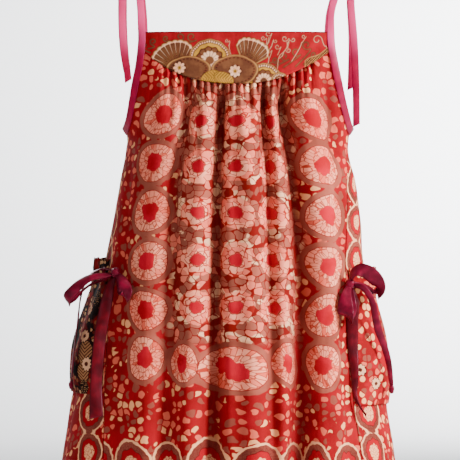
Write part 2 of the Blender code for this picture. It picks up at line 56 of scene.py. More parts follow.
# Plan of the body: height, half widths left and right, reach to front and back, squareness
bodyPlan = np.array((
    (-60, 130, 131, 58, 55, 2.5),
    (-110, 135, 136, 68, 67, 2.5),
    (-145, 125, 127, 73, 73, 2.45),
    (-164, 117, 119, 76, 76, 2.4),
    (-178, 111, 113, 78, 78, 2.4),
    (-192, 112, 112.5, 79.5, 79, 2.4),
    (-222, 118, 119, 82, 80, 2.35),
    (-262, 124, 125, 85, 82, 2.3),
    (-302, 131, 128, 89, 85, 2.25),
    (-342, 141, 134, 94, 89, 2.2),
    (-392, 154, 142, 100, 95, 2.15),
    (-442, 166, 151, 106, 101, 2.1),
    (-501, 176, 160, 113, 108, 2.1),
    (-600, 189, 172, 122, 118, 2.1)))
# Height, then how far out the left and right armhole edges stand
armholePlan = np.array((
    (-60, -93.5, 92), (-93, -94, 93), (-109, -96, 96), (-128, -100, 100),
    (-147, -103.5, 104.5), (-162, -106.5, 108.5), (-171, -108.6, 110.8)))
# Height, then how far forward the left and right side seams lie
seamPlan = np.array((
    (-178, 0, 0), (-192, -10, -19), (-218, -20, -37), (-254, -26, -46), (-298, -32, -53),
    (-372, -54, -62), (-443, -69, -70), (-502, -79, -73), (-600, -90, -78)))


def smoothCurve(heights, values, z):
    # A smooth curve through a table's values, whose heights fall from row to row
    at, known = -np.asarray(heights, float), np.asarray(values, float)
    slope = np.gradient(known, at)
    place = np.clip(-np.asarray(z, float), at[0], at[-1])
    i = np.clip(np.searchsorted(at, place) - 1, 0, len(at) - 2)
    gap = at[i + 1] - at[i]
    t = (place - at[i]) / gap
    return (known[i] * (1 + 2 * t) * (1 - t) ** 2 + gap * slope[i] * t * (1 - t) ** 2
            + known[i + 1] * t * t * (3 - 2 * t) + gap * slope[i + 1] * t * t * (t - 1))


def walkAlong(points):
    # Distance along each row of points, from its first
    steps = np.linalg.norm(np.diff(points, axis=-2), axis=-1)
    return np.concatenate([np.zeros((*steps.shape[:-1], 1)), np.cumsum(steps, axis=-1)], axis=-1)


def unit(rows):
    return rows / np.linalg.norm(rows, axis=-1, keepdims=True)


def squareTo(ahead, rows):
    # Unit directions square to the way ahead
    return unit(rows - ahead * np.sum(rows * ahead, axis=-1, keepdims=True))


def bodyAt(z):
    return [float(smoothCurve(bodyPlan[:, 0], bodyPlan[:, k], z)) for k in range(1, 6)]


def planPoints(z, turns):
    # The body's outline at a height, by turn from the front: a squared ellipse with a front and a back half
    left, right, front, back, power = bodyAt(z)
    middle, half = (right - left) / 2, (right + left) / 2
    sine, cosine = np.sin(turns), np.cos(turns)
    x = middle + half * np.sign(sine) * np.abs(sine) ** (2 / power)
    y = -np.where(cosine > 0, front, back) * np.sign(cosine) * np.abs(cosine) ** (2 / power)
    return np.stack([x, y], axis=-1)


def turnOfX(z, x):
    # Turn at which the outline's front half reaches x
    left, right, _, _, power = bodyAt(z)
    share = np.clip((x - (right - left) / 2) / ((right + left) / 2), -1, 1)
    return math.asin(math.copysign(abs(share) ** (power / 2), share))


def turnOfY(z, y, side):
    # Turn at which the outline's front half reaches y, at the left side (-1) or the right (1)
    _, _, front, _, power = bodyAt(z)
    return side * math.acos(np.clip(-y / front, 0, 1) ** (power / 2))


edgeRows = np.array([(z, turnOfX(z, left), turnOfX(z, right)) for z, left, right in armholePlan]
                    + [(z, turnOfY(z, left, -1), turnOfY(z, right, 1)) for z, left, right in seamPlan])


def panelEdges(z, panel):
    # Turns at which a panel's two edges lie
    left, right = (float(smoothCurve(edgeRows[:, 0], edgeRows[:, k], z)) for k in (1, 2))
    if panel == "front":
        return left, right
    if z > underarm:
        return math.pi - right, math.pi - left
    return right, 2 * math.pi + left


halfSteps = 140


def stripAt(z, panel):
    # A panel's line at a height: its points, their distance from the middle, and the way out
    start, end = panelEdges(z, panel)
    middle = 0 if panel == "front" else math.pi
    halves = np.linspace(start, middle, halfSteps + 1)[:-1], np.linspace(middle, end, halfSteps + 1)
    points = planPoints(z, np.concatenate(halves))
    walk = walkAlong(points)
    walk -= walk[halfSteps]
    along = unit(np.gradient(points, axis=0))
    return points, walk, np.stack([along[:, 1], -along[:, 0]], axis=1)


latticeStep = 2.0
latticeHeights = np.arange(-58.0, -605.0, -latticeStep)
latticeShares = np.linspace(0, 1, 321)


def clothLattice(panel):
    # x, y, outward x, outward y and distance from the middle, by height and share of the width
    evenHeights = (-95.0, -300.0, -600.0)
    ends = []
    for z in evenHeights:
        walk = stripAt(z, panel)[1]
        ends.append((walk[0] + sideInset, walk[-1] - sideInset))
    ends = np.abs(np.array(ends))
    side = (latticeShares >= 0.5).astype(int)
    out = np.abs(2 * latticeShares - 1)
    table = np.zeros((len(latticeHeights), len(latticeShares), 5))
    for r, z in enumerate(latticeHeights):
        points, walk, outward = stripAt(z, panel)
        even = smoothCurve(evenHeights, ends[:, 0], z), smoothCurve(evenHeights, ends[:, 1], z)
        even = np.array(even)[side]
        edge = np.abs(np.array((walk[0] + sideInset, walk[-1] - sideInset)))[side]
        walked = (even * out + (edge - even) * out ** 4) * np.where(side, 1, -1)
        for k, known in enumerate((points[:, 0], points[:, 1], outward[:, 0], outward[:, 1])):
            table[r, :, k] = np.interp(walked, walk, known)
        table[r, :, 4] = walked
    return table


lattices = {panel: clothLattice(panel) for panel in ("front", "back")}


def onLattice(panel, share, z):
    # The lattice read between its rows and columns
    table = lattices[panel]
    row = np.clip((latticeHeights[0] - z) / latticeStep, 0, len(latticeHeights) - 1.001)
    col = np.clip(share * (len(latticeShares) - 1), 0, len(latticeShares) - 1.001)
    r, c = row.astype(int), col.astype(int)
    u, v = (row - r)[..., None], (col - c)[..., None]
    return ((1 - u) * ((1 - v) * table[r, c] + v * table[r, c + 1])
            + u * ((1 - v) * table[r + 1, c] + v * table[r + 1, c + 1]))


def yokeEdge(x):
    # Height of the yoke's bowed lower edge
    left, right = armholePlan[1, 1], armholePlan[1, 2]
    share = np.where(x < yokeMiddle, (x - yokeMiddle) / (left - yokeMiddle),
                     (x - yokeMiddle) / (right - yokeMiddle))
    power = np.where(x < yokeMiddle, 2.6, 2.1)
    return yokeCorner - yokeDrop * (1 - np.clip(share, 0, 1) ** power)


def calmAt(shares):
    # 0 at the side seams, where folds and gathers die away, to 1 from a sixteenth of the width in
    return np.clip(np.minimum(shares, 1 - shares) * 16, 0, 1)


def pushedOut(base, push, z):
    return np.stack([base[..., 0] + base[..., 2] * push, base[..., 1] + base[..., 3] * push, z], axis=-1)


def yokeSeam(panel, shares):
    # The same edge by share of the panel's width, found in a few rounds
    low = np.full(len(shares), -110.0)
    for _ in range(8):
        low = yokeEdge(onLattice(panel, shares, low)[:, 0])
    return low


# Main folds: where the middle runs at five heights, depth and half width at top and bottom
foldHeights = (-145.0, -200.0, -290.0, -420.0, -600.0)
frontFolds = (
    (-100, -108, -113, -119, -127, 0.5, 3.5, 6, 10),
    (-48, -60, -66, -69, -76, 9.0, 8.0, 6, 12),
    (-16, -19, -21, -23, -28, 15.0, 18.0, 5, 12),
    (26, 31, 33, 35, 36, 13.0, 5.0, 5, 8),
    (46, 56, 65, 66, 60, 18.0, 20.0, 8, 14),
    (90, 99, 104, 106, 118, 4.0, 3.0, 6, 9),
    (4, 10, 13, 16, 18, -4.5, -5.5, 8, 15),
    (-31, -36, -42, -46, -52, -2.5, -3.0, 7, 10),
    (72, 80, 90, 97, 104, -3.0, -4.5, 9, 16),
    (-76, -84, -89, -94, -100, -2.0, -3.5, 12, 18))
backFolds = (
    (-168, -150, -168, -196, -226, 1.0, 5.0, 9, 15),
    (-98, -108, -118, -134, -158, 2.0, -4.0, 10, 17),
    (-60, -70, -82, -96, -112, 4.0, 6.5, 6, 14),
    (-34, -40, -48, -60, -74, -2.5, -4.0, 8, 15),
    (-12, -14, -20, -26, -34, 4.5, 6.5, 5, 13),
    (14, 14, 10, 8, 6, -3.0, -4.5, 9, 17),
    (38, 42, 46, 50, 52, 5.0, 7.5, 5, 14),
    (66, 74, 84, 92, 98, -2.5, -4.0, 8, 17),
    (90, 104, 120, 138, 146, 3.0, 6.0, 7, 15),
    (120, 132, 156, 182, 204, -1.0, -4.5, 10, 18),
    (160, 158, 184, 214, 246, 1.0, 5.0, 9, 14))
# Small gathers under the yoke: place along the seam, depth, half width, length of the fade
frontGathers = (
    (-72, 1.3, 2.0, 14), (-65.5, 2.2, 2.1, 24), (-58.5, 1.7, 1.9, 16), (-52, 2.8, 2.4, 40),
    (-45.5, 2.0, 2.0, 22), (-38.5, 2.9, 2.5, 52), (-32, 1.8, 1.9, 18), (-25.5, 2.3, 2.2, 30),
    (-19.5, 2.0, 1.8, 20), (-13.5, 3.2, 2.4, 60), (-6.5, 1.7, 2.0, 18), (0, 2.3, 2.1, 26),
    (6.5, 1.6, 1.9, 16), (13, 2.5, 2.3, 34), (20, 2.0, 1.9, 20), (26.5, 3.2, 2.5, 62),
    (33, 1.8, 2.0, 18), (39.5, 2.2, 2.1, 26), (46, 3.2, 2.4, 56), (52.5, 1.9, 1.9, 20),
    (59.5, 2.7, 2.4, 44), (66.5, 1.9, 2.1, 22), (73.5, 1.6, 2.2, 18))
# Softer creases between the folds: place at top and bottom, the two heights, depth, half width
frontCreases = (
    (-82, -92, -128, -235, 1.1, 5), (-60, -66, -140, -215, -0.9, 5), (-30, -29, -132, -300, 1.5, 4),
    (-4, -3, -142, -262, 1.1, 4), (12, 22, -150, -330, -1.0, 5), (58, 50, -230, -420, 1.2, 6),
    (66, 101, -112, -196, 2.2, 4.5), (80, 76, -250, -400, 1.0, 6), (-100, -104, -250, -420, 1.2, 7),
    (-44, -38, -300, -520, 1.2, 7), (2, -2, -330, -560, 1.3, 8), (34, 40, -380, -590, 1.4, 8),
    (-84, -88, -400, -590, -1.2, 8), (88, 92, -390, -590, -1.0, 8))


def foldPush(panel, along, z):
    # A fold sinks in where its depth is above 0, and stands out where it is below
    low = np.clip((foldHeights[0] - z) / (foldHeights[0] - hem), 0, 1)
    pushed = np.zeros_like(z)
    for fold in frontFolds if panel == "front" else backFolds:
        middle = smoothCurve(foldHeights, fold[:5], z)
        depth = fold[5] + (fold[6] - fold[5]) * low ** 0.6
        half = fold[7] + (fold[8] - fold[7]) * low
        pushed -= depth * np.exp(-((along - middle) / half) ** 2)
    return pushed


def creasePush(panel, along, z):
    # The back has the front's creases, mirrored
    pushed = np.zeros_like(z)
    mirror = 1 if panel == "front" else -1
    for top, bottom, start, end, depth, half in frontCreases:
        run = np.clip((start - z) / (start - end), 0, 1)
        middle = mirror * (top + (bottom - top) * run)
        pushed -= depth * np.sin(math.pi * run) ** 0.8 * np.exp(-((along - middle) / half) ** 2)
    return pushed


def gatherPush(panel, across, drop):
    # Gathers sink in and fade down from the seam, on cloth that swells out just below it
    pushed = np.zeros_like(drop)
    mirror = 1 if panel == "front" else -1
    below = np.maximum(drop, 0)
    swell = np.clip((86 - np.abs(across)) / 18, 0, 1) * np.exp(-below / 20)
    for place, depth, half, length in frontGathers:
        wide = half * 0.85 * (1 + below / 45)
        fade = np.exp(-(below / (1.15 * length)) ** 1.4)
        pushed -= 2.5 * depth * fade * np.exp(-np.abs((across - mirror * place) / wide) ** 1.6)
    return pushed + 3.2 * swell * (1 - np.exp(-below / 2.5))


def unevenness(a, b, seed):
    # Soft rises and dips with no repeat, from a few long waves
    chance = np.random.default_rng(seed)
    total = np.zeros_like(a)
    for _ in range(9):
        angle, size = chance.uniform(0, math.tau), chance.uniform(18, 60)
        phase = (a * math.cos(angle) + 0.45 * b * math.sin(angle)) / size
        total += np.sin(math.tau * phase + chance.uniform(0, math.tau)) / 3
    return total


seamAllowance = 2.8


def panelSurface(panel, columns, rows):
    shares = np.linspace(0, 1, columns)
    # The seam allowance runs on behind the yoke
    seam = yokeSeam(panel, shares) - 0.1
    top = seam + seamAllowance
    down = np.linspace(0, 1, rows) ** 1.2
    z = top[None] + (hem - top[None]) * down[:, None]
    share = np.broadcast_to(shares[None], z.shape)
    base = onLattice(panel, share, z)
    along = base[..., 0] if panel == "front" else base[..., 4]
    drop = seam[None] - z
    below = np.maximum(drop, 0)
    grown = np.clip((drop + 6) / 34, 0, 1) ** 1.2
    calm = calmAt(share)
    folded = grown * calm * (foldPush(panel, along, z) + creasePush(panel, along, z))
    gathered = calm * gatherPush(panel, base[..., 0], drop)
    push = folded + gathered + 0.25 * calm * grown * unevenness(along, z, 5 if panel == "front" else 6)
    # How deep the folds and gathers sink, kept to darken the batik there as painted shade
    sunk = np.clip(-folded / 19, 0, 1) + np.clip(-gathered / 5, 0, 1) * np.exp(-below / 40)
    pressed = push * np.clip(1 + drop / 2.6, 0, 1) - 1.3 * np.clip(-drop, 0, 1)
    return {"points": pushedOut(base, np.where(drop < 0, pressed, push), z), "base": base,
            "gathered": calm * np.exp(-below / 26), "sunk": np.clip(sunk, 0, 1)}


def linear(code):
    # sRGB hex to the linear colour that the shaders take
    parts = [int(code[i:i + 2], 16) / 255 for i in (1, 3, 5)]
    return (*[v / 12.92 if v <= 0.04045 else ((v + 0.055) / 1.055) ** 2.4 for v in parts], 1)


# Short names of the nodes used: Blender's kind, where the values go, the output (None for all), settings
nodeKinds = {
    "attribute": ("ShaderNodeAttribute", (), "Fac", {}),
    "flatPlace": ("ShaderNodeUVMap", (), "UV", {"uv_map": "Print"}),
    "objectPlace": ("ShaderNodeTexCoord", (), "Object", {}),
    "add": ("ShaderNodeMath", (0, 1), 0, {"operation": "ADD"}),
    "subtract": ("ShaderNodeMath", (0, 1), 0, {"operation": "SUBTRACT"}),
    "multiply": ("ShaderNodeMath", (0, 1), 0, {"operation": "MULTIPLY"}),
    "sine": ("ShaderNodeMath", (0,), 0, {"operation": "SINE"}),
    "vectorAdd": ("ShaderNodeVectorMath", (0, 1), 0, {"operation": "ADD"}),
    "vectorSubtract": ("ShaderNodeVectorMath", (0, 1), 0, {"operation": "SUBTRACT"}),
    "vectorMultiply": ("ShaderNodeVectorMath", (0, 1), 0, {"operation": "MULTIPLY"}),
    "vectorScale": ("ShaderNodeVectorMath", (0, "Scale"), 0, {"operation": "SCALE"}),
    "direction": ("ShaderNodeVectorMath", (0,), 0, {"operation": "NORMALIZE"}),
    "combine": ("ShaderNodeCombineXYZ", ("X", "Y", "Z"), 0, {}),
    "split": ("ShaderNodeSeparateXYZ", (0,), None, {}),
    "splitColour": ("ShaderNodeSeparateColor", (0,), None, {}),
    "noise": ("ShaderNodeTexNoise", ("Vector", "Scale", "Detail"), "Fac", {}),
    "drift": ("ShaderNodeTexNoise", ("Vector", "Scale", "Detail"), "Color", {}),
    "cells": ("ShaderNodeTexVoronoi", ("Vector", "Scale", "Randomness"), None, {}),
    "gaps": ("ShaderNodeTexVoronoi", ("Vector", "Scale", "Randomness"), "Distance",
             {"feature": "DISTANCE_TO_EDGE"}),
    # 0 below the low value, 1 above the high one, smooth between them. With low above high it falls.
    "rise": ("ShaderNodeMapRange", ("Value", "From Min", "From Max"), "Result",
             {"interpolation_type": "SMOOTHSTEP"}),
    "mix": ("ShaderNodeMix", (0, 6, 7), 2, {"data_type": "RGBA"}),
    "bump": ("ShaderNodeBump", ("Height", "Strength", "Distance"), "Normal", {}),
    "translucent": ("ShaderNodeBsdfTranslucent", ("Color",), 0, {}),
    "mixShader": ("ShaderNodeMixShader", (0, 1, 2), 0, {})}


def plug(node, inputs):
    # Links each socket, or sets its value, with a colour as sRGB hex
    for place, value in inputs.items():
        socket = node.inputs[place]
        if isinstance(value, bpy.types.NodeSocket):
            node.id_data.links.new(value, socket)
        else:
            socket.default_value = linear(value) if isinstance(value, str) else value


def addNode(tree, name, *values, **settings):
    kind, places, output, fixed = nodeKinds[name]
    node = tree.nodes.new(kind)
    for setting, value in {**fixed, **settings}.items():
        setattr(node, setting, value)
    plug(node, dict(zip(places, values)))
    return node.outputs if output is None else node.outputs[output]


def band(add, value, low, high, soft):
    risen, fallen = add("rise", value, low - soft, low + soft), add("rise", value, high + soft, high - soft)
    return add("multiply", risen, fallen)


def newMaterial(name):
    # A material, its shader, addNode for its own nodes, and a function that reads one of the cloth's fields
    made = bpy.data.materials.new(name)
    made.use_nodes = True
    add = partial(addNode, made.node_tree)
    shader = made.node_tree.nodes["Principled BSDF"]
    return made, shader, add, lambda field: add("attribute", attribute_name=field)


def wovenFinish(add, shader, uv, gathered=0.0):
    # Plain weave at 2.6 threads a millimetre, soft wear creases, and fine tucks where the cloth is gathered.
    # The thread is drawn about twice as coarse as it is, so that it shows.
    along = add("vectorMultiply", uv, (1.0, 0.16, 1.0))
    height = 0.0
    weave, slubs, creases = (uv, 1500.0, 1.0, 0.10), (uv, 260.0, 3.0, 0.10), (along, 75.0, 2.0, 1.1)
    for place, scale, detail, depth in (weave, slubs, creases):
        height = add("add", height, add("multiply", add("noise", place, scale, detail), depth))
    tucks = add("multiply", add("noise", along, 230.0, 1.0), 3.0)
    height = add("add", height, add("multiply", tucks, gathered))
    # Fuzzy cotton yarn scatters nearly all its gloss away, so little white shine lies over the dye
    plug(shader, {"Normal": add("bump", height, 1.0, 0.001), "Roughness": 0.8, "Specular IOR Level": 0.06})


# Print threads of the front panel: their x at nine heights, and where each lies on the flat print
threadHeights = (-84, -157, -205, -254, -304, -352, -404, -477, -600)
threadPlaces = (
    (-66, -69, -80, -85, -89, -90, -90, -92, -97),
    (-36, -37, -39, -39, -39, -41, -46, -50, -56),
    (-1, 0, -1, -1, -1, -1, -3, -4, -5),
    (31, 32, 33, 33, 34, 37, 44, 48, 52),
    (62, 71, 83, 90, 92, 88, 85, 84, 84))
threadPrint = (-89, -39, -1, 34, 90)
# Height where the flat print's way down is 0
printTop = -42


def frontPrint(surface):
    # Flat print place of each point: along the cloth between the threads, and down from the neck
    points, base = surface["points"], surface["base"]
    walk = walkAlong(points[..., :2])
    u = np.zeros_like(walk)
    for r in range(len(points)):
        z = float(points[r, len(points[r]) // 2, 2])
        places = [float(smoothCurve(threadHeights, row, z)) for row in threadPlaces]
        known = np.interp(places, base[r, :, 0], walk[r])
        u[r] = np.interp(walk[r], known, threadPrint)
        before, after = walk[r] < known[0], walk[r] > known[-1]
        u[r][before] = threadPrint[0] + (walk[r] - known[0])[before]
        u[r][after] = threadPrint[-1] + (walk[r] - known[-1])[after]
    return u, printTop - points[..., 2] - 0.03 * np.clip(points[..., 0], 0, None)


def nearestMotif(u, v, rows, seed, lobes=9):
    # Of the nearest motif: share of its reach, a lobed wave, the way out from its middle, a number of its own
    chance = np.random.default_rng(seed)
    share, wave, own = np.full(u.shape, 9.0), np.zeros(u.shape), np.zeros(u.shape)
    across, down = np.ones(u.shape), np.zeros(u.shape)
    for cu, cv, ru, rv in rows:
        a, b = (u - cu) / ru, (v - cv) / rv
        angle = np.arctan2(b, a)
        turns = chance.uniform(0, math.tau, 3)
        number = chance.uniform(0, 1)
        wobble = 1 + 0.06 * np.sin(2 * angle + turns[0]) + 0.045 * np.sin(3 * angle + turns[1])
        reach = np.hypot(a, b) / wobble
        lobed = np.cos(lobes * angle + turns[2])
        closer = reach < share
        for field, value in ((share, reach), (wave, lobed), (across, a), (down, b)):
            field[closer] = value[closer]
        own[closer] = number
    return share, wave, across, down, own


# The print's motifs: middle across and down, reach across and down
ringRows = [(-89, v, 22, 22.5) for v in (116, 163, 212, 261, 309, 356)]
ringRows += [(90, v, 22, 22.5) for v in (117, 164, 213, 263, 312, 361)]
ringRows += [(-48, 361, 15.5, 22), (-4, 366, 31, 25), (43, 360, 18.5, 22)]
rosetteRows = [(u, v, 15.5, 16.5) for u in (-39, -1, 35) for v in (122, 167, 213, 259, 306)]
rosetteRows += [(u, 516, 13, 13) for u in range(-130, 140, 31)]
borderRows = [(-100, 462, 23, 27), (-59, 461, 17.5, 25), (-21.5, 461, 19.5, 26), (15, 461, 16, 25),
              (48, 460, 17, 25), (83, 461, 18, 25), (120, 462, 19, 26), (-140, 462, 18, 26)]


wideRing = 30


def printFields(u, v, place, tables, packed):
    rings, rosettes, borders = tables
    # A ring has one eye. A wide ring has two that run together.
    eyes = [(cu, cv, 0.40 * ru, 0.41 * rv) for cu, cv, ru, rv in rings if ru < wideRing]
    for cu, cv, ru, _ in rings:
        if ru >= wideRing:
            eyes += [(cu - 5.5, cv - 4, 8, 8.5), (cu + 5.5, cv + 4, 8, 8.5)]
    fields = {"packed": packed, "eye": nearestMotif(u, v, eyes, 4)[0]}
    for name, rows, seed in (("ring", rings, 1), ("rosette", rosettes, 2)):
        share, _, across, down, own = nearestMotif(u, v, rows, seed)
        fields.update({name: share, name + "Across": across, name + "Down": down, name + "Own": own})
    fields["border"], fields["borderWave"] = nearestMotif(place, v, borders, 3)[:2]
    return fields


def frontFields(u, v):
    # Pebbles lie packed in the middle, between the two columns of rings
    wander = 3 * np.sin(v / 17) + 2 * np.sin(v / 7.3 + 1)
    packed = (np.clip((68 + wander - np.abs(u)) / 5, 0, 1) * np.clip((v - 80) / 6, 0, 1)
              * np.clip((344 + 0.6 * wander - v) / 8, 0, 1))
    return printFields(u, v, u, (ringRows, rosetteRows, borderRows), packed)


def backFields(u, v, edge):
    # Cut crosswise, so the border runs down beside the side seams
    rings = [(side * 82.0, w, 22, 22.5) for w in range(112, 600, 49) for side in (-1, 1)]
    roses = [(at, w, 17, 18) for w in range(122, 600, 46) for at in (-39, 0, 39)]
    border = [(19, w, 19, 20) for w in range(70, 640, 38)]
    packed = np.clip((58 + 3 * np.sin(v / 17) - np.abs(u)) / 6, 0, 1)
    return printFields(u, v, np.minimum(edge, 60), (rings, roses, border), packed)


def polarCells(add, read, name, around, deep):
    # Cells laid round a motif's middle: width of the nearest gap, and a chance number of each cell
    out = add("direction", add("combine", read(name + "Across"), read(name + "Down")))
    turned = add("split", add("vectorScale", out, around / math.tau))
    height = add("add", add("multiply", read(name), deep), add("multiply", read(name + "Own"), 9.0))
    place = add("combine", turned[0], turned[1], height)
    return add("gaps", place, 1.0, 0.8), add("splitColour", add("cells", place, 1.0, 0.8)["Color"])[0]


def pebbles(add, drawn, scale, spread=0.8):
    # Rounded cells: distance from a pebble's middle and from its gap, and two chance numbers of each
    cells = add("cells", drawn, scale, spread, voronoi_dimensions="2D")
    chance = add("splitColour", cells["Color"])
    gap = add("gaps", drawn, scale, spread, voronoi_dimensions="2D")
    return cells["Distance"], gap, chance[0], chance[1]


# Dyes of the ring print, and the painted shade colour of the fold valleys. Where two are given, the first
# turns to the second in patches.
batikDyes = {
    "ground": ("#840a10", "#a10b1a"), "sunk": "#5c0408", "stitch": "#4a0608",
    "floating": ("#f3a06a", "#d95c46", "#8a4033"),
    "packed": ("#a35442", "#8a4536", "#e27058", "#f6b488"), "packedGap": "#7a120e",
    "rosetteOuter": ("#ea6c55", "#fb9070"), "rosettePetal": ("#f07660", "#ff9c7c"), "rosetteGap": "#9a2018",
    "rosetteEye": ("#a8051c", "#bc1226"), "rosetteEyeLine": "#7c100f",
    "ringBand": ("#f07a60", "#ff9e7e"), "ringBlush": "#e05c46", "ringSpoke": "#a32a1c",
    "ringRim": ("#873f31", "#a65544"), "ringRimLine": "#84201a", "ringEye": ("#a40818", "#c01228"),
    "arc": ("#6e3026", "#924638"), "arcSpeck": "#571a16", "arcRing": "#a00818", "arcRingLine": "#5e0f10",
    "arcEye": ("#f3a878", "#b8402f"), "arcEdge": "#f3aa7a"}


def batikCotton(name):
    # Wax-resist print on plain cotton: rings, rosettes and pebbles on red. The dye drifts in its vat.
    made, shader, add, read = newMaterial(name)
    uv = add("flatPlace")
    drift = add("vectorSubtract", add("drift", uv, 95.0, 1.0), (0.5, 0.5, 0.5))
    drawn = add("vectorAdd", uv, add("vectorScale", drift, 0.009))
    dye = add("noise", uv, 26.0, 4.0)
    uneven, patchy = add("rise", dye, 0.35, 0.7), add("rise", dye, 0.4, 0.6)
    islands = add("noise", uv, 64.0, 1.0)
    ragged = add("multiply", add("subtract", add("noise", uv, 190.0, 1.0), 0.5), 0.30)
    colour = add("mix", uneven, *batikDyes["ground"])
    # Floating pebbles in cream, pink and mauve
    away, gap, kind, size = pebbles(add, drawn, 116.0)
    reach = add("add", add("multiply", size, 0.26), 0.24)
    inside = add("rise", add("subtract", reach, away), -0.02, 0.05)
    inside = add("multiply", inside, add("rise", gap, 0.05, 0.11))
    scattered = add("add", kind, add("multiply", islands, -0.9))
    inside = add("multiply", inside, add("rise", scattered, -0.30, -0.28))
    cream, pink, mauve = batikDyes["floating"]
    stone = add("mix", add("rise", kind, 0.38, 0.40), cream, pink)
    stone = add("mix", add("rise", kind, 0.70, 0.72), stone, mauve)
    colour = add("mix", inside, colour, stone)
    # Packed pebbles between the rosettes, with odd cream islands
    away, gap, kind, _ = pebbles(add, drawn, 146.0)
    mauve, brown, pink, cream = batikDyes["packed"]
    stone = add("mix", add("rise", kind, 0.50, 0.52), mauve, brown)
    stone = add("mix", add("rise", kind, 0.78, 0.80), stone, pink)
    stone = add("mix", add("rise", islands, 0.585, 0.61), stone, cream)
    outline = add("multiply", add("rise", gap, 0.02, 0.08), add("rise", away, 0.66, 0.58))
    outline = add("multiply", outline, add("rise", kind, 0.10, 0.12))
    stone = add("mix", outline, batikDyes["packedGap"], stone)
    colour = add("mix", read("packed"), colour, stone)
    # Rosettes: round pale petals about a red eye, and pale pebbles about the petals
    rough = add("add", read("rosette"), ragged)
    petal = add("mix", add("rise", kind, 0.3, 0.7), *batikDyes["rosetteOuter"])
    outline = add("multiply", add("rise", gap, 0.01, 0.07), add("rise", away, 0.66, 0.56))
    outer = add("mix", outline, batikDyes["rosetteGap"], petal)
    split, tint = polarCells(add, read, "rosette", 8.5, 2.4)
    petal = add("mix", add("rise", tint, 0.3, 0.7), *batikDyes["rosettePetal"])
    inner = add("mix", add("rise", split, 0.01, 0.07), batikDyes["rosetteGap"], petal)
    body = add("mix", add("rise", rough, 0.70, 0.66), outer, inner)
    eye = add("mix", patchy, *batikDyes["rosetteEye"])
    body = add("mix", add("rise", rough, 0.37, 0.34), body, eye)
    body = add("mix", band(add, rough, 0.36, 0.40, 0.01), body, batikDyes["rosetteEyeLine"])
    colour = add("mix", add("rise", rough, 1.02, 0.98), colour, body)
    # Rings: pale band crazed with fine spokes, red eye, mauve rim
    rough = add("add", read("ring"), add("multiply", ragged, 0.3))
    spokes, tint = polarCells(add, read, "ring", 30.0, 3.6)
    fine = add("multiply", add("rise", spokes, 0.10, 0.03), add("rise", ragged, -0.09, -0.02))
    pale = add("mix", uneven, *batikDyes["ringBand"])
    pale = add("mix", add("rise", tint, 0.72, 0.9), pale, batikDyes["ringBlush"])
    pale = add("mix", add("multiply", fine, 0.85), pale, batikDyes["ringSpoke"])
    rim = add("mix", uneven, *batikDyes["ringRim"])
    body = add("mix", add("rise", rough, 0.88, 0.90), pale, rim)
    body = add("mix", band(add, rough, 0.875, 0.905, 0.01), body, batikDyes["ringRimLine"])
    eye = add("rise", add("add", read("eye"), add("multiply", ragged, 2.4)), 1.04, 0.96)
    body = add("mix", eye, body, add("mix", patchy, *batikDyes["ringEye"]))
    colour = add("mix", add("rise", rough, 1.12, 1.08), colour, body)
    # Border: cream-edged arcs with a mauve band, a crimson ring and a cream eye
    rough = add("add", read("border"), add("multiply", ragged, 0.5))
    inner = add("add", rough, add("multiply", read("borderWave"), 0.03))
    fine = add("rise", pebbles(add, drawn, 300.0, 0.9)[1], 0.10, 0.03)
    arc = add("mix", add("multiply", fine, 0.6), add("mix", uneven, *batikDyes["arc"]), batikDyes["arcSpeck"])
    arc = add("mix", add("rise", inner, 0.66, 0.63), arc, batikDyes["arcRing"])
    arc = add("mix", band(add, inner, 0.63, 0.66, 0.01), arc, batikDyes["arcRingLine"])
    cream = add("mix", add("rise", fine, 0.2, 0.8), *batikDyes["arcEye"])
    arc = add("mix", add("rise", inner, 0.40, 0.37), arc, cream)
    arc = add("mix", add("rise", rough, 0.885, 0.91), arc, batikDyes["arcEdge"])
    colour = add("mix", add("rise", rough, 1.01, 0.98), colour, arc)
    # The dye keeps deeper inside the folds, where the cloth is neither rubbed nor faded
    # Painted shade: the colour darkens to deep red inside the fold valleys and under the gathers, by how deep
    # they sink
    colour = add("mix", add("multiply", read("sunk"), 0.72), colour, batikDyes["sunk"])
    # Hem: a row of 3 mm machine stitches 12 mm above the edge
    stitchLength, stitchTop, stitchBottom = 0.003, 0.5455, 0.5463
    place = add("split", uv)
    dash = add("rise", add("sine", add("multiply", place[0], math.tau / stitchLength)), -0.5, 0.1)
    stitch = add("multiply", band(add, place[1], stitchTop, stitchBottom, 0.0002), dash)
    colour = add("mix", add("multiply", stitch, 0.8), colour, batikDyes["stitch"])
    plug(shader, {"Base Color": colour})
    wovenFinish(add, shader, uv, read("gathered"))
    return made


def placeMesh(name, mesh, material):
    mesh.materials.append(material)
    mesh.shade_smooth()
    made = bpy.data.objects.new(name, mesh)
    bpy.context.scene.collection.objects.link(made)
    return made


def gridMesh(name, points):
    # A grid moved to these places, in millimetres and from its top row down
    rows, columns = points.shape[:2]
    grid = bmesh.new()
    bmesh.ops.create_grid(grid, x_segments=columns - 1, y_segments=rows - 1, size=1)
    mesh = bpy.data.meshes.new(name)
    grid.to_mesh(mesh)
    grid.free()
    mesh.vertices.foreach_set("co", (points[::-1] * mm).reshape(-1).astype(np.float32))
    return mesh


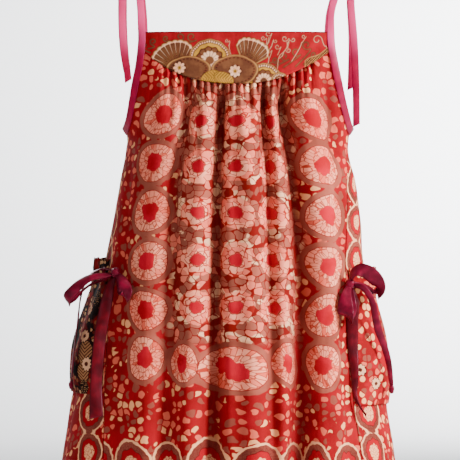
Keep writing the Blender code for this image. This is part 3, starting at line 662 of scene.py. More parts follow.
def layCloth(piece):
    # A cloth shell from a dictionary: grid of outer points, flat print places, fields and wall
    mesh = gridMesh(piece["name"], piece["points"])
    flat = np.stack(piece["print"], axis=-1)[::-1].reshape(-1, 2) * mm
    corners = np.zeros(len(mesh.loops), np.int32)
    mesh.loops.foreach_get("vertex_index", corners)
    layer = mesh.uv_layers.new(name="Print")
    layer.data.foreach_set("uv", flat[corners].reshape(-1).astype(np.float32))
    for other in [kept for kept in mesh.uv_layers if kept.name != "Print"]:
        mesh.uv_layers.remove(other)
    for name, values in piece["fields"].items():
        field = mesh.attributes.new(name, "FLOAT", "POINT")
        field.data.foreach_set("value", np.ascontiguousarray(values[::-1]).reshape(-1).astype(np.float32))
    made = placeMesh(piece["name"], mesh, piece["material"])
    shell = made.modifiers.new("Cloth wall", "SOLIDIFY")
    shell.thickness = piece["wall"] * mm
    shell.offset = piece.get("offset", -1)
    return made


def pieceName(node):
    first, *others = node.split("_")
    return first + "".join(other.capitalize() for other in others)


def settle(made, node):
    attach(made, "root")
    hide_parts(node)
    return made


batik = batikCotton("Batik cotton, red ground")
surfaces = {"front": panelSurface("front", 305, 157), "back": panelSurface("back", 321, 142)}
for panel, surface in surfaces.items():
    if panel == "front":
        u, v = frontPrint(surface)
        fields = frontFields(u, v)
    else:
        walk = walkAlong(surface["points"][..., :2])
        u = walk - walk[:, walk.shape[1] // 2][:, None]
        # The gathers take in the cloth without drawing the print out sideways
        plain = 1.03 * surface["base"][..., 4]
        u = np.where(u < 0, u * (plain[:, :1] / u[:, :1]), u * (plain[:, -1:] / u[:, -1:]))
        # The printed border runs straight on above the underarm, where the armhole cuts it away
        low = surface["points"][:, 0, 2] < underarm - 26
        reach = []
        for width in (-u[:, 0], u[:, -1]):
            line = np.polyfit(np.flatnonzero(low)[:40], width[low][:40], 1)
            reach.append(np.where(low, width, np.polyval(line, np.arange(len(u)))))
        edge = np.where(u < 0, reach[0][:, None] + u, reach[1][:, None] - u)
        v = printTop - surface["points"][..., 2]
        fields = backFields(u, v, edge)
    # The fold depth goes along as the field of painted shade
    fields.update(gathered=surface["gathered"], sunk=surface["sunk"])
    piece = {"name": panel + "Panel", "points": surface["points"], "print": (u, v), "fields": fields,
             "material": batik, "wall": walls["panel"]}
    surface["made"] = settle(layCloth(piece), panel + "_panel")
print("panels laid")


def softly(distance, edge=0.35):
    # 1 inside a drawn shape and 0 outside, soft over its edge
    return np.clip(0.5 - distance / (2 * edge), 0, 1)


def strokeAway(u, v, curve):
    # Distance from a drawn line
    away = np.full(u.shape, 99.0)
    for (ax, ay), (bx, by) in zip(curve[:-1], curve[1:]):
        length = (bx - ax) ** 2 + (by - ay) ** 2 + 1e-9
        run = np.clip(((u - ax) * (bx - ax) + (v - ay) * (by - ay)) / length, 0, 1)
        away = np.minimum(away, np.hypot(u - ax - run * (bx - ax), v - ay - run * (by - ay)))
    return away


def smoothed(values, times):
    # Each row averaged with its neighbours, the ends kept
    values = np.array(values, float)
    for _ in range(times):
        middle = (values[:-2] + 2 * values[1:-1] + values[2:]) / 4
        values = np.concatenate([values[:1], middle, values[-1:]])
    return values


def curl(cu, cv, reach, start, way, tail):
    # A tendril: a spiral out from its middle, then a bowed stem to its root
    turns = np.linspace(0, 1, 22)
    angle = math.radians(start) + way * (1 - turns) * math.tau
    radius = reach * (0.30 + 0.70 * turns)
    spiral = np.stack([cu + radius * np.cos(angle), cv + radius * np.sin(angle)], axis=1)
    stem = np.linspace(0, 1, 9)[1:, None]
    ahead = spiral[-1] + (spiral[-1] - spiral[-2]) * 5
    end = np.array(tail, float)
    bowed = (1 - stem) ** 2 * spiral[-1] + 2 * stem * (1 - stem) * ahead + stem ** 2 * end
    return np.concatenate([spiral, bowed])


# Yoke print, in millimetres across from the middle and down: curls with reach, start, way round and root
brownCurls = (
    (-83, 43, 3.6, 100, 1, (-88, 50)), (-70.5, 40, 3.2, 60, 1, (-66, 46)),
    (-56.5, 38.5, 4.6, 120, -1, (-52, 45)), (-45, 38.5, 4.8, 60, 1, (-50, 45)),
    (68.7, 46.5, 4.8, 60, 1, (58, 68)), (58.5, 53.5, 4.6, 50, 1, (46, 69)),
    (47, 58.5, 4.2, 50, 1, (38, 68)), (38, 62, 3.6, 40, 1, (28, 66)), (76, 56, 3, 60, 1, (66, 66)),
    (-92, 47, 3, 120, 1, (-86, 54)))
paleCurls = (
    (30.9, 35.5, 3, 10, 1, (31, 45)), (26, 40, 2.4, 20, 1, (29, 48)), (24.5, 45, 2.2, 20, 1, (29, 53)),
    (38, 43, 2, 200, -1, (34, 49)), (47.3, 40.2, 3.3, 20, 1, (50, 50)), (55.5, 41.4, 2.3, 150, -1, (50, 47)),
    (40, 48.6, 2.8, 20, 1, (40, 57)), (31, 52.2, 2.8, 20, 1, (32, 60)), (51, 52, 2.4, 160, -1, (45, 58)),
    (79.4, 41.4, 5, 0, -1, (88, 48)), (-10, 42.5, 1.9, 30, 1, (-8, 48)), (66, 38, 2.2, 20, 1, (64, 45)))
# Stalks that carry the pale curls, from the flowers up
paleStalks = (
    ((30, 68), (32, 60), (29.5, 53), (29, 48), (31, 44), (31.5, 39)), ((30, 55), (32.5, 51), (34, 48)),
    ((40, 70), (40.5, 62), (42, 57), (46, 54), (50, 49), (49.5, 44)), ((42, 60), (45, 57.5), (46, 54)),
    ((54, 63), (59, 55), (63, 48), (64, 44)), ((-6, 57), (-7.5, 52), (-8, 47)), ((90, 52), (88, 47)))
# Shells: root across and down, reach, lean, half spread and ribs
shells = ((-58, 72, 27, -24, 62, 11), (8, 72, 29, 20, 40, 9))
# Half-round flowers: middle, reach
halfFlowers = ((-27, 62, 20.5), (26.5, 83, 17.5), (42, 83, 8.5))
# Cloud petals: middle, reach across and down, and the white blossom on each
cloudPetals = ((-48, 71, 21, 12.5, -57, 69.5), (-2, 72, 22, 14.5, -2, 73))
goldLeaves = ((-26, 79.5, 9.5, 7, 1), (-13, 80.5, 9.5, 6.5, -1))


# Dyes of the yoke's flowers, each with the tone that it turns to in patches
yokeDyes = {
    "stem": ("#3b120e", "#4a1a12"), "bark": ("#36190f", "#44210f"), "brown": ("#5a3220", "#6e4229"),
    "tan": ("#a26f3e", "#b27f48"), "gold": ("#a9782a", "#c08a35"), "milk": ("#e8a47c", "#f0bc94")}


def yokeFields(u, v):
    # Share of each dye at every point, painted one motif over another
    dyes = {name: np.zeros(u.shape) for name in yokeDyes}

    def paint(name, cover):
        for field in dyes.values():
            field *= 1 - cover
        dyes[name] += cover

    for table, name, wide in ((brownCurls, "brown", 0.65), (paleCurls, "milk", 0.12)):
        for row in table:
            away = strokeAway(u, v, curl(*row))
            paint("stem", softly(away - wide - 0.3) * 0.8)
            paint(name, softly(away - wide))
    for stalk in paleStalks:
        away = strokeAway(u, v, smoothed(np.repeat(stalk, 4, axis=0), 6))
        paint("stem", softly(away - 0.45) * 0.8)
        paint("milk", softly(away - 0.15))
    for cu, cv, reach, lean, spread, ribs in shells:
        away, angle = np.hypot(u - cu, v - cv), np.degrees(np.arctan2(u - cu, cv - v)) - lean
        turn = np.cos(math.pi * ribs * (angle + spread) / (2 * spread))
        shoulder = np.clip(1.12 - (np.abs(angle) / spread) ** 4 * 0.25, 0, 1.1)
        edge = reach * (1 + 0.035 * np.abs(turn)) * shoulder
        side = (np.abs(angle) - spread) * np.radians(1) * away
        shape = np.maximum(away - edge, side)
        paint("stem", softly(shape - 0.6))
        paint("tan", softly(shape))
        step = 2 * spread / ribs
        aside = np.abs(((angle + spread) % step) - step / 2) * np.radians(1) * away
        half = 0.40 * step * np.radians(1) * away
        club = np.maximum(aside - half, away - edge + 2.2 + 1.2 * (aside / np.maximum(half, 0.1)) ** 2)
        paint("milk", softly(shape + 1.0) * softly(edge * 0.6 - away, 2.0))
        paint("bark", softly(np.maximum(shape + 1.0, club - 0.3)))
        paint("brown", softly(np.maximum(shape + 1.0, club + 0.35)))
    for cu, cv, reach in halfFlowers:
        away, angle = np.hypot(u - cu, v - cv), np.arctan2(v - cv, u - cu)
        edge = away / (1 + 0.03 * np.abs(np.cos(6 * angle)))
        paint("stem", softly(edge - reach - 0.5))
        paint("tan", softly(edge - reach))
        paint("bark", softly(edge - reach + 0.9))
        beads = np.hypot(edge - reach + 2.3, 2.6 * (((angle * reach / 2.6) % 1) - 0.5))
        paint("milk", softly(beads - 0.85))
        paint("gold", softly(edge - reach + 3.9))
        paint("bark", softly(edge - reach * (0.66 + 0.03 * np.cos(11 * angle))))
        for dye, share, petals, split in (("brown", 0.60, 11, 0.25), ("milk", 0.42, 14, 0.22)):
            lobed = softly(edge - reach * (share + 0.03 * np.cos(petals * angle)))
            paint(dye, lobed * softly(split - np.abs(np.cos(petals / 2 * angle)), 0.12))
        paint("brown", softly(edge - reach * 0.20))
    for cu, cv, ru, rv, bu, bv in cloudPetals:
        angle = np.arctan2((v - cv) / rv, (u - cu) / ru)
        clouded = 1 + 0.05 * np.abs(np.cos(2.5 * angle + 0.6))
        edge = (np.hypot((u - cu) / ru, (v - cv) / rv) / clouded - 1) * rv
        paint("stem", softly(edge - 0.5))
        paint("tan", softly(edge))
        paint("brown", softly(edge + 0.9))
        stitches = np.abs(((angle * 4.6) % 1) - 0.5) * 2
        paint("bark", softly(np.abs(edge + 2.6) - 0.5) * softly(stitches - 0.6, 0.2))
        away, turn = np.hypot(u - bu, v - bv), np.cos(4 * np.arctan2(v - bv, u - bu))
        paint("bark", softly(away - 6.6))
        paint("milk", softly(away - 4.2 - 1.9 * np.abs(turn)) * softly(0.12 - np.abs(turn), 0.08))
        paint("gold", softly(away - 2.0))
        paint("bark", softly(away - 0.8))
    for cu, cv, ru, rv, way in goldLeaves:
        x, y = (u - cu) * way, v - cv
        edge = (np.hypot(x / ru, (y + 0.25 * x) / rv) - 1) * rv
        paint("bark", softly(edge - 0.4))
        paint("gold", softly(edge))
        veins = np.abs(((x * 0.38 + np.abs(y + 0.25 * x) * 0.30) % 1) - 0.5) * 2
        paint("bark", softly(edge + 0.4) * softly(veins - 0.34, 0.25) * 0.8)
    # Corner strip of a dotted cream and brown leaf
    midrib = 60 - (u - 78) * 0.5 - ((u - 78) / 13) ** 3
    strip = np.maximum(np.abs(v - midrib) - 3.6 + 0.8 * np.sin(u / 3), np.abs(u - 79) - 12)
    paint("tan", softly(strip))
    paint("bark", softly(strip + 0.8))
    paint("tan", softly(strip + 1.2) * softly(-np.sin(u * 2.6) * np.sin(v * 2.6) + 0.2, 0.3))
    below, kept = 1 - sum(dyes.values()), {}
    for name, cover in dyes.items():
        below = below + cover
        kept[name] = cover / np.maximum(below, 1e-6)
    return kept


def yokeCotton(name):
    # Wax-resist print on plain cotton: brown cloud flowers and curled tendrils on red
    made, shader, add, read = newMaterial(name)
    uv = add("flatPlace")
    dye = add("noise", uv, 60.0, 4.0)
    colour = add("mix", add("rise", dye, 0.35, 0.7), "#880a12", "#a0101c")
    for dyed, tones in yokeDyes.items():
        colour = add("mix", read(dyed), colour, add("mix", add("rise", dye, 0.4, 0.6), *tones))
    # Dark turned edge along the neck
    colour = add("mix", add("rise", add("split", uv)[1], 0.0341, 0.0336), colour, "#4a0f10")
    plug(shader, {"Base Color": colour})
    wovenFinish(add, shader, uv)
    return made


yokeBatik = yokeCotton("Batik cotton, brown flowers")
for panel in ("front", "back"):
    shares = np.linspace(0, 1, 331)
    low = yokeSeam(panel, shares) - 0.7
    down = np.linspace(0, 1, 64)[:, None]
    z = neckTop + (low[None] - neckTop) * down
    base = onLattice(panel, np.broadcast_to(shares[None], z.shape), z)
    fromSeam = z - low[None]
    # Laid over the gathers, with a soft roll at both turned edges and a slight pull between
    push = 0.35 + 0.75 * np.exp(-(fromSeam / 3.2) ** 2) - 0.7 * np.exp(-(fromSeam / 0.8) ** 2)
    push -= 0.35 * np.exp(-((z - neckTop) / 0.9) ** 2)
    push += 0.16 * unevenness(base[..., 0], z * 1.6, 21) * np.clip(fromSeam / 6, 0, 1)
    u, v = base[..., 0] * (1 if panel == "front" else -1), printTop - z
    piece = {"name": panel + "Yoke", "points": pushedOut(base, push, z), "print": (u, v),
             "fields": yokeFields(u, v), "material": yokeBatik, "wall": walls["yoke"]}
    made = settle(layCloth(piece), panel + "_yoke")
print("yokes laid")


def satinRibbon(name, face, shade, through, share, paintedLitTop=None):
    # Polyester satin: smooth long floats that shine along the ribbon, a woven selvage, light let through
    made, shader, add, read = newMaterial(name)
    uv = add("flatPlace")
    flat = add("split", uv)
    ribs = add("noise", add("combine", add("multiply", flat[0], 0.12), flat[1]), 3000.0, 1.0)
    wide = add("noise", uv, 90.0, 2.0)
    colour = add("mix", add("rise", wide, 0.3, 0.75), shade, face)
    if paintedLitTop:
        # Painted light: lighter above the yoke, where the strap hangs against the bright backdrop
        height = add("split", add("objectPlace"))[2]
        colour = add("mix", add("rise", height, -0.104, -0.076), colour, paintedLitTop)
    colour = add("mix", add("rise", read("edge"), 0.84, 0.92), colour, shade)
    relief = add("add", add("multiply", ribs, 0.05), add("multiply", wide, 0.5))
    plug(shader, {"Base Color": colour, "Roughness": 0.34, "Anisotropic": 0.4, "Specular IOR Level": 0.35,
                  "Specular Tint": "#ff9fc0", "Normal": add("bump", relief, 0.8, 0.001)})
    both = add("mixShader", share, shader.outputs[0], add("translucent", through))
    plug(made.node_tree.nodes["Material Output"], {"Surface": both})
    return made


# The straps' lighter colour above the yoke is painted light
strapSatin = satinRibbon("Satin ribbon, bright rose", "#a81446", "#841038", "#ff3c88", 0.42, "#e84a8a")
bowSatin = satinRibbon("Satin ribbon, crimson", "#8c0f30", "#54081a", "#b80c34", 0.16)
# A darker copy of the bow's crimson satin, for the bows' hanging front ends: painted shade
shadedBowSatin = satinRibbon("Satin ribbon, crimson in painted shade", "#6c0a16", "#42060a", "#a00c1c", 0.14)


def ribbonStrip(piece):
    # A woven ribbon from a dictionary: path, facings and widths, with a cupped section
    path = piece["path"]
    ahead = unit(np.gradient(path, axis=0))
    facing = squareTo(ahead, piece["facings"])
    across = np.cross(ahead, facing)
    walk = walkAlong(path)
    side = np.linspace(-1, 1, 11)
    cup = piece.get("cup", 0.35) * (0.5 - side ** 2)
    ripple = piece.get("ripple", 0.12) * np.sin(walk / 7.3 + piece["seed"])
    widths = np.array(piece["widths"])[:, None, None]
    lift = cup[None, :] + ripple[:, None] * side[None, :]
    points = path[:, None] + across[:, None] * side[None, :, None] * widths / 2
    points += facing[:, None] * lift[..., None]
    points[-1] += ahead[-1] * side[:, None] * piece.get("slant", 0)
    flat = side[None] * widths[..., 0] / 2 + walk[:, None] * 0, walk[:, None] + side[None] * 0
    edge = np.abs(side)[None] + walk[:, None] * 0
    return layCloth({"name": piece["name"], "points": points[::-1], "print": (flat[0][::-1], flat[1][::-1]),
                     "fields": {"edge": edge}, "material": piece["material"], "wall": walls["ribbon"],
                     "offset": 0})


def routeSamples(rows, step=1.5):
    # Places, rolls and width shares along a smooth curve through a route's rows
    rows = np.array(rows, float)
    walk = walkAlong(rows[:, :3])
    at = np.linspace(0, walk[-1], max(5, round(walk[-1] / step)) + 1)
    return np.stack([smoothCurve(-walk, rows[:, k], -at) for k in range(5)], axis=1)


def rolledFacings(samples):
    # Which way a ribbon faces: to the front, turned by each sample's roll
    facings = []
    ahead = np.gradient(samples[:, :3], axis=0)
    for i, sample in enumerate(samples):
        along = Vector(ahead[i]).normalized()
        front = Vector((0, -1, 0))
        front = (front - along * front.dot(along)).normalized()
        side = along.cross(front)
        if along.z > 0:
            side = -side
        roll = math.radians(sample[3])
        facings.append(front * math.cos(roll) + side * math.sin(roll))
    return np.array(facings)


# Knots: middle and half sizes
knots = {
    "shoulder_knot_left": ((-103, 0, 0), (8, 8.6, 6.5)),
    "shoulder_knot_right": ((105, 0, 0), (8, 8.6, 6.5)),
    "bow_knot_left": ((-120.5, -54.2, -314.5), (4.6, 5.2, 5.4)),
    "bow_knot_right": ((112, -61.3, -325.5), (4.6, 4.8, 5.4)),
    "end_knot_left": ((-165.6, -39, -426.6), (2.3, 2.6, 4.4)),
    "end_knot_right": ((154, -44.1, -430.4), (2.6, 2.4, 4.8))}


def seated(place, knot, inside=0.4):
    # A ribbon's end moved to its knot's surface, a little inside it
    centre, half = (np.array(value, float) for value in knots[knot])
    away = np.array(place[:3], float) - centre
    reach = np.sum(np.abs(away / half) ** 2.5) ** (-1 / 2.5)
    return (*(centre + away * reach - away / np.linalg.norm(away) * inside), *place[3:])


def tiedKnot(piece):
    # A drawn-up knot: a squared lump with one wrap across it and fine pleats running in
    (cx, cy, cz), half = knots[piece["knot"]]
    lump = bmesh.new()
    bmesh.ops.create_uvsphere(lump, u_segments=48, v_segments=32, radius=1)
    for vert in lump.verts:
        x, y, z = vert.co
        squarer = [math.copysign(abs(v) ** 0.8, v) for v in (x, y, z)]
        tilt = x * piece["tilt"] + z
        wrap = 0.10 * math.exp(-(tilt / 0.42) ** 4)
        rims = -0.09 * (math.exp(-((tilt - 0.5) / 0.09) ** 2) + math.exp(-((tilt + 0.5) / 0.09) ** 2))
        pleats = 0.035 * math.sin(9 * math.atan2(y, x) + 5 * tilt) * (1 - math.exp(-(tilt / 0.5) ** 2))
        fine = 0.012 * math.sin(26 * tilt)
        swell = 0.94 + wrap + rims + pleats + fine
        vert.co = Vector([(c + s * h * swell) * mm for c, s, h in zip((cx, cy, cz), squarer, half)])
    mesh = bpy.data.meshes.new(piece["name"])
    lump.to_mesh(mesh)
    lump.free()
    return placeMesh(piece["name"], mesh, piece["material"])


for knot, tilt in (("shoulder_knot_left", 0.3), ("shoulder_knot_right", -0.3), ("bow_knot_left", 0.35),
                   ("bow_knot_right", -0.35), ("end_knot_left", 0.2), ("end_knot_right", -0.2)):
    satin = strapSatin if knot.startswith("shoulder") else bowSatin
    made = tiedKnot({"name": pieceName(knot), "knot": knot, "tilt": tilt, "material": satin})
    settle(made, knot)

# Straps above the yoke, routed to the shoulder knots: x, how far to the front, how far to the back, z, roll,
# share of the width
straps = {
    "left": ((-95, 47.5, 45, -64, -14, 1), (-95.8, 43, 41, -50, -8, 1), (-97.4, 36, 34.5, -34, 0, 1),
             (-99.6, 23, 22.5, -14, 0, 1), (-101, 10, 10, -3, 0, 0.8)),
    "right": ((92.8, 48, 45.5, -64, 12, 0.85), (94.4, 44, 42, -52, 8, 0.9), (98.6, 36.5, 35, -36, 4, 1),
              (101.8, 23, 22.5, -14, 0, 1), (103.2, 10, 10, -3, 0, 0.8))}
strapWidth = 7.8
for place in ("front_left", "front_right", "back_left", "back_right"):
    panel, side = place.split("_")
    strap = [(x, -ahead if panel == "front" else behind, z, roll, share)
             for x, ahead, behind, z, roll, share in straps[side]]
    atLeft = (side == "left") == (panel == "front")
    # Up the armhole edge, bound over it, then on to the knot
    z = np.concatenate([np.arange(-174.0, -94.0, 2.0), np.arange(-93.0, -74.0, 2.0)])
    edge, inner = (onLattice(panel, np.full(len(z), abs((not atLeft) - inset)), z) for inset in (0.0, 0.03))
    edge, inner = (np.concatenate([rows[:, :2], z[:, None]], axis=1) for rows in (edge, inner))
    up = unit(np.gradient(edge, axis=0))
    across = squareTo(up, inner - edge)
    facing = np.cross(across, up)
    facing *= np.sign(np.sum(facing[:, :2] * edge[:, :2], axis=1))[:, None]
    lift = 1.15 + 1.2 * np.clip((-150 - z) / 26, 0, 1)[:, None] ** 2
    lower = edge + facing * lift - across * 1.5
    samples = routeSamples((*strap[:-1], seated(strap[-1], "shoulder_knot_" + side)))
    upper = rolledFacings(samples)
    if panel == "back":
        upper *= np.sign(upper[:, 1:2])
    path = smoothed(np.concatenate([lower, samples[:, :3]]), 10)
    facings = smoothed(np.concatenate([facing, upper]), 10)
    widths = np.concatenate([np.full(len(z), strapWidth), strapWidth * samples[:, 4]])
    made = ribbonStrip({"name": f"{panel}{side.capitalize()}Strap", "path": path, "facings": facings,
                        "widths": smoothed(widths, 8), "material": strapSatin, "seed": len(place)})
    settle(made, "armhole_ribbon_" + place)
    print(place, "strap", round(float(walkAlong(path)[-1])), "mm")

# Free ends and bow loops: CAD node, ribbon width, knots at the start and the end, far end, route
freeRibbons = (
    ("tie_end_front_left", 7.8, "shoulder_knot_left", None, (
        (-110.5, -6.5, -8, 5, 0.65), (-114.6, -12, -22, 0, 1), (-115.4, -15, -45, 0, 1),
        (-115, -16, -72, -4, 1), (-113.2, -17, -94, -6, 1), (-110.6, -18, -110, -8, 1))),
    ("tie_end_back_left", 7.8, "shoulder_knot_left", None, (
        (-110.5, 6.5, -8, 5, 0.65), (-114.4, 11, -22, 0, 1), (-115.2, 14, -46, 4, 1),
        (-114.4, 16, -76, 6, 0.9), (-112.5, 18, -100, 4, 0.9), (-110.2, 19, -121, 0, 0.9))),
    ("tie_end_front_right", 7.8, "shoulder_knot_right", None, (
        (112.2, -6.5, -8.5, 0, 0.6), (113.2, -10, -24, 0, 0.95), (114.8, -13, -50, 4, 0.95),
        (117.6, -14, -82, 2, 0.95), (119.4, -15, -120, 0, 0.9), (120, -15, -167, -4, 0.9))),
    ("tie_end_back_right", 7.8, "shoulder_knot_right", None, (
        (112.2, 6.5, -8.5, 0, 0.6), (113.6, 11, -24, 0, 0.95), (115.4, 14, -52, -4, 0.95),
        (116.6, 17, -84, -3, 0.9), (116.2, 18, -108, 0, 0.9), (115.2, 18, -129, 4, 0.8))),
    ("bow_left_loop_outer", 12.0, "bow_knot_left", "bow_knot_left", (
        (-126.2, -56, -316, 62, 0.5), (-133, -57, -317, 58, 0.7), (-144, -58, -318.5, 52, 0.85),
        (-154, -59, -324, 40, 1), (-163, -59, -332.5, 28, 1), (-169, -56.5, -339.5, 45, 1),
        (-168.5, -51.5, -343.5, 92, 0.9), (-162.5, -49, -341, 108, 0.85),
        (-155, -48, -333, 108, 0.8), (-145, -48.5, -325.5, 104, 0.75),
        (-134, -51, -321.5, 100, 0.6), (-126.2, -53.5, -318.5, 96, 0.4))),
    ("bow_left_loop_inner", 12.0, "bow_knot_left", "bow_knot_left", (
        (-115.4, -63, -318, -8, 0.5), (-113, -70, -323, -4, 0.85),
        (-111, -73, -328.5, 2, 1.1), (-109.5, -74, -334.5, 30, 1.15), (-110.5, -71.5, -338.5, 80, 1.1),
        (-112.6, -68.5, -336, 150, 0.95), (-114, -67, -330, 168, 0.75), (-116, -61.8, -322, 175, 0.4))),
    ("bow_left_end_front", 12.0, "bow_knot_left", None, (
        (-123.6, -57, -321, 12, 0.45), (-125.8, -61, -328, 16, 0.7), (-128.5, -64, -340, 12, 0.95),
        (-133, -67, -362, 4, 1), (-137, -71, -392, -4, 1), (-139, -75, -425, -6, 1),
        (-139, -79.5, -457, 6, 1.15))),
    ("bow_left_end_side", 12.0, "bow_knot_left", "end_knot_left", (
        (-125.6, -51, -311.4, 80, 0.4), (-133, -46, -310.5, 84, 0.55), (-143, -42, -313.5, 88, 0.7),
        (-150.5, -38.5, -322, 90, 0.8), (-155.5, -37.5, -336, 88, 0.85), (-157.6, -37.5, -350, 88, 0.85),
        (-160, -38, -372, 86, 0.85), (-163.5, -38.5, -398, 84, 0.85), (-165.2, -39, -421, 84, 0.5))),
    ("bow_right_loop_outer", 12.0, "bow_knot_right", "bow_knot_right", (
        (112.5, -64.3, -319, 40, 0.45), (115.5, -67.3, -313.5, 26, 0.8), (121.5, -69.3, -311.5, 20, 1.1),
        (129.5, -69.3, -314, 14, 1.25), (136.5, -67.8, -320, 16, 1.25), (141, -64.3, -328.5, 40, 1.15),
        (139.8, -58.8, -335, 88, 1.1), (134, -55.8, -333.5, 118, 1), (127, -56.3, -328.5, 128, 0.8),
        (118.4, -59.7, -325, 132, 0.45))),
    ("bow_right_loop_inner", 12.0, "bow_knot_right", "bow_knot_right", (
        (109.4, -67.8, -330.5, 4, 0.5), (107.6, -73.3, -337.5, 4, 0.95), (106.8, -76.3, -346.5, 2, 1.3),
        (107.4, -77.3, -355.5, 34, 1.35), (109.8, -73.8, -359, 88, 1.3), (112, -70.8, -352, 158, 1.1),
        (112.6, -69.3, -343, 168, 0.8), (112.4, -66.8, -334.6, 172, 0.45))),
    ("bow_right_end_front", 12.0, "bow_knot_right", None, (
        (114.4, -63.3, -334, 0, 0.4), (115.8, -62.8, -343, 0, 0.8), (114.2, -64.3, -362, 0, 0.95),
        (114.6, -67.3, -390, 2, 0.85), (116.4, -71.3, -418, 8, 0.62), (116.8, -74.3, -438, 30, 0.34),
        (121.5, -75.8, -447, 50, 0.28), (127.5, -76.3, -455.5, 40, 0.28))),
    ("bow_right_end_side", 12.0, "bow_knot_right", "end_knot_right", (
        (118.2, -64.3, -328, 20, 0.4), (123.5, -67.3, -328.6, 24, 0.5), (129.5, -67.3, -334.5, 20, 0.5),
        (134, -66.3, -343.5, 14, 0.52), (136.6, -63.3, -356, 6, 0.55), (139.6, -59.8, -370, 4, 0.6),
        (145, -55.3, -384, 2, 0.55), (150.4, -50.3, -402, 10, 0.5), (153.4, -45.3, -424, 40, 0.35))),
)
for node, width, start, end, rows in freeRibbons:
    rows = list(rows)
    rows[0] = seated(rows[0], start)
    if end:
        rows[-1] = seated(rows[-1], end)
    samples = routeSamples(rows)
    path, facings = smoothed(samples[:, :3], 3), smoothed(rolledFacings(samples), 6)
    isTie, isLoop = node.startswith("tie"), "loop" in node
    # The bows' front ends take the darker copy of the bow satin, as painted shade
    satin = strapSatin if isTie else shadedBowSatin if node.endswith("end_front") else bowSatin
    made = ribbonStrip({"name": pieceName(node), "path": path, "facings": facings,
                        "widths": samples[:, 4] * width, "material": satin, "seed": len(node),
                        "cup": 0.4 if isTie else 0.9, "ripple": 0.3 if isTie else 0.5,
                        "slant": 0 if end else 1.6})
    settle(made, node)
print("ribbons tied")

# Pockets: top, casing and bottom heights, width along the cloth, how far the pouch stands out
pockets = {"left": (-301, -314, -435, 112, 11.5), "right": (-310, -323, -446, 108, 10.5)}


def pocketSurface(side):
    # Pocket cloth over the folded panel: gathered at its casing, pouched below and ruffled above
    top, casing, bottom, width, stand = pockets[side]
    down = np.linspace(0, 1, 84) ** 1.1
    across = np.linspace(0, 1, 121)
    shares = np.linspace(0, 1, 561)
    points = np.zeros((len(down), len(across), 3))
    outs = np.zeros((len(down), len(across), 2))
    for r, fall in enumerate(down):
        z = top + (bottom - top) * fall
        heights = np.full(len(shares), z)
        base = onLattice("back", shares, heights)
        push = foldPush("back", base[:, 4], heights) * calmAt(shares)
        line, out = base[:, :2] + base[:, 2:4] * push[:, None], base[:, 2:4]
        if side == "left":
            line, out = line[::-1], out[::-1]
        walk = walkAlong(line)
        neck = math.exp(-((z - casing) / 9.0) ** 2)
        pouch = math.sin(math.pi * min(1.0, fall / 0.78) ** 0.9 / 2) if fall < 0.78 else 1.0
        close = math.cos(math.pi / 2 * max(0.0, (fall - 0.5) / 0.5) ** 1.6)
        place = 1.5 + width * (across * (1 - 0.05 * neck) + 0.02 * neck)
        arch = np.sin(math.pi * np.clip(across, 1e-9, 1 - 1e-9)) ** 0.55
        mouth = 8.5 * (1 - min(1.0, fall / 0.55))
        bulge = max(mouth, stand * pouch * close) * arch
        turns = 20 * across + 0.35 * np.sin(11 * across + 1)
        wave = 1.7 * np.exp(-((z - casing) / 14.0) ** 2) * arch * np.cos(math.pi * turns)
        wave += 1.2 * math.exp(-((z - top) / 7.0) ** 2) * arch * np.cos(math.pi * turns * 1.5 + 1)
        wave -= 1.1 * math.exp(-((z - casing) / 2.2) ** 2) * arch
        soft = 0.35 * unevenness(across * width, np.full(len(across), z) * 1.4, 31) * arch * min(1, 4 * fall)
        lift = seamGap + 1.2 + bulge + wave + 0.5 * arch + soft
        for k in (0, 1):
            outs[r, :, k] = np.interp(place, walk, out[:, k])
            points[r, :, k] = np.interp(place, walk, line[:, k]) + outs[r, :, k] * lift
        frill = np.cos(math.pi * turns * 1.5 + 1.4 * np.sin(7 * across))
        frill += 0.5 * np.cos(math.pi * turns * 2.3 + 1)
        points[r, :, 2] = z + 1.2 * frill * arch * math.exp(-fall * 22)
    return points, outs, down, across


def printPlace(points, outs, u, v, px, py):
    # Flat print place of the front-facing cloth that shows at a place in the front view
    away = (points[..., 0] - px) ** 2 + (points[..., 2] - py) ** 2 + np.where(outs[..., 1] > 0.1, 1e6, 0)
    at = np.unravel_index(np.argmin(away), away.shape)
    return u[at], v[at]


# Pocket motifs as they show from the front: x, z, reach across, reach down, kind
pocketMotifs = {
    "left": (
        (-152, -393, 10, 11, "leaf"), (-153, -414, 9, 10, "leaf"), (-150, -326, 8, 9, "leaf"),
        (-152, -378, 6, 5.5, "flower"), (-150, -406, 6.5, 6, "flower"), (-147, -352, 5.5, 5.5, "flower"),
        (-132, -366, 5, 9, "leaf"), (-131, -392, 5, 9, "leaf"), (-131, -432, 6, 6, "flower"),
        (-152, -428, 7, 7, "dots"), (-140, -340, 7, 7, "dots"), (-135, -412, 6, 6, "flower")),
    "right": ((122, -410, 6, 5, "flower"), (138, -424, 6, 5, "flower"))}
# Pocket cotton: name, slot, ground and its lighter dye, three stones, cells a metre, share of cells left bare
pocketCottons = {
    "left": ("Batik cotton, dark leaves", "dark_batik", "#180605", "#7c0b0c",
             ("#b9855c", "#5a1a12", "#8a4a30"), 210.0, 0.45),
    "right": ("Batik cotton, pebbles and leaves", "batik", "#840a10", "#a10b1a",
              ("#f3a06a", "#d95c46", "#8a4033"), 128.0, 0.12)}


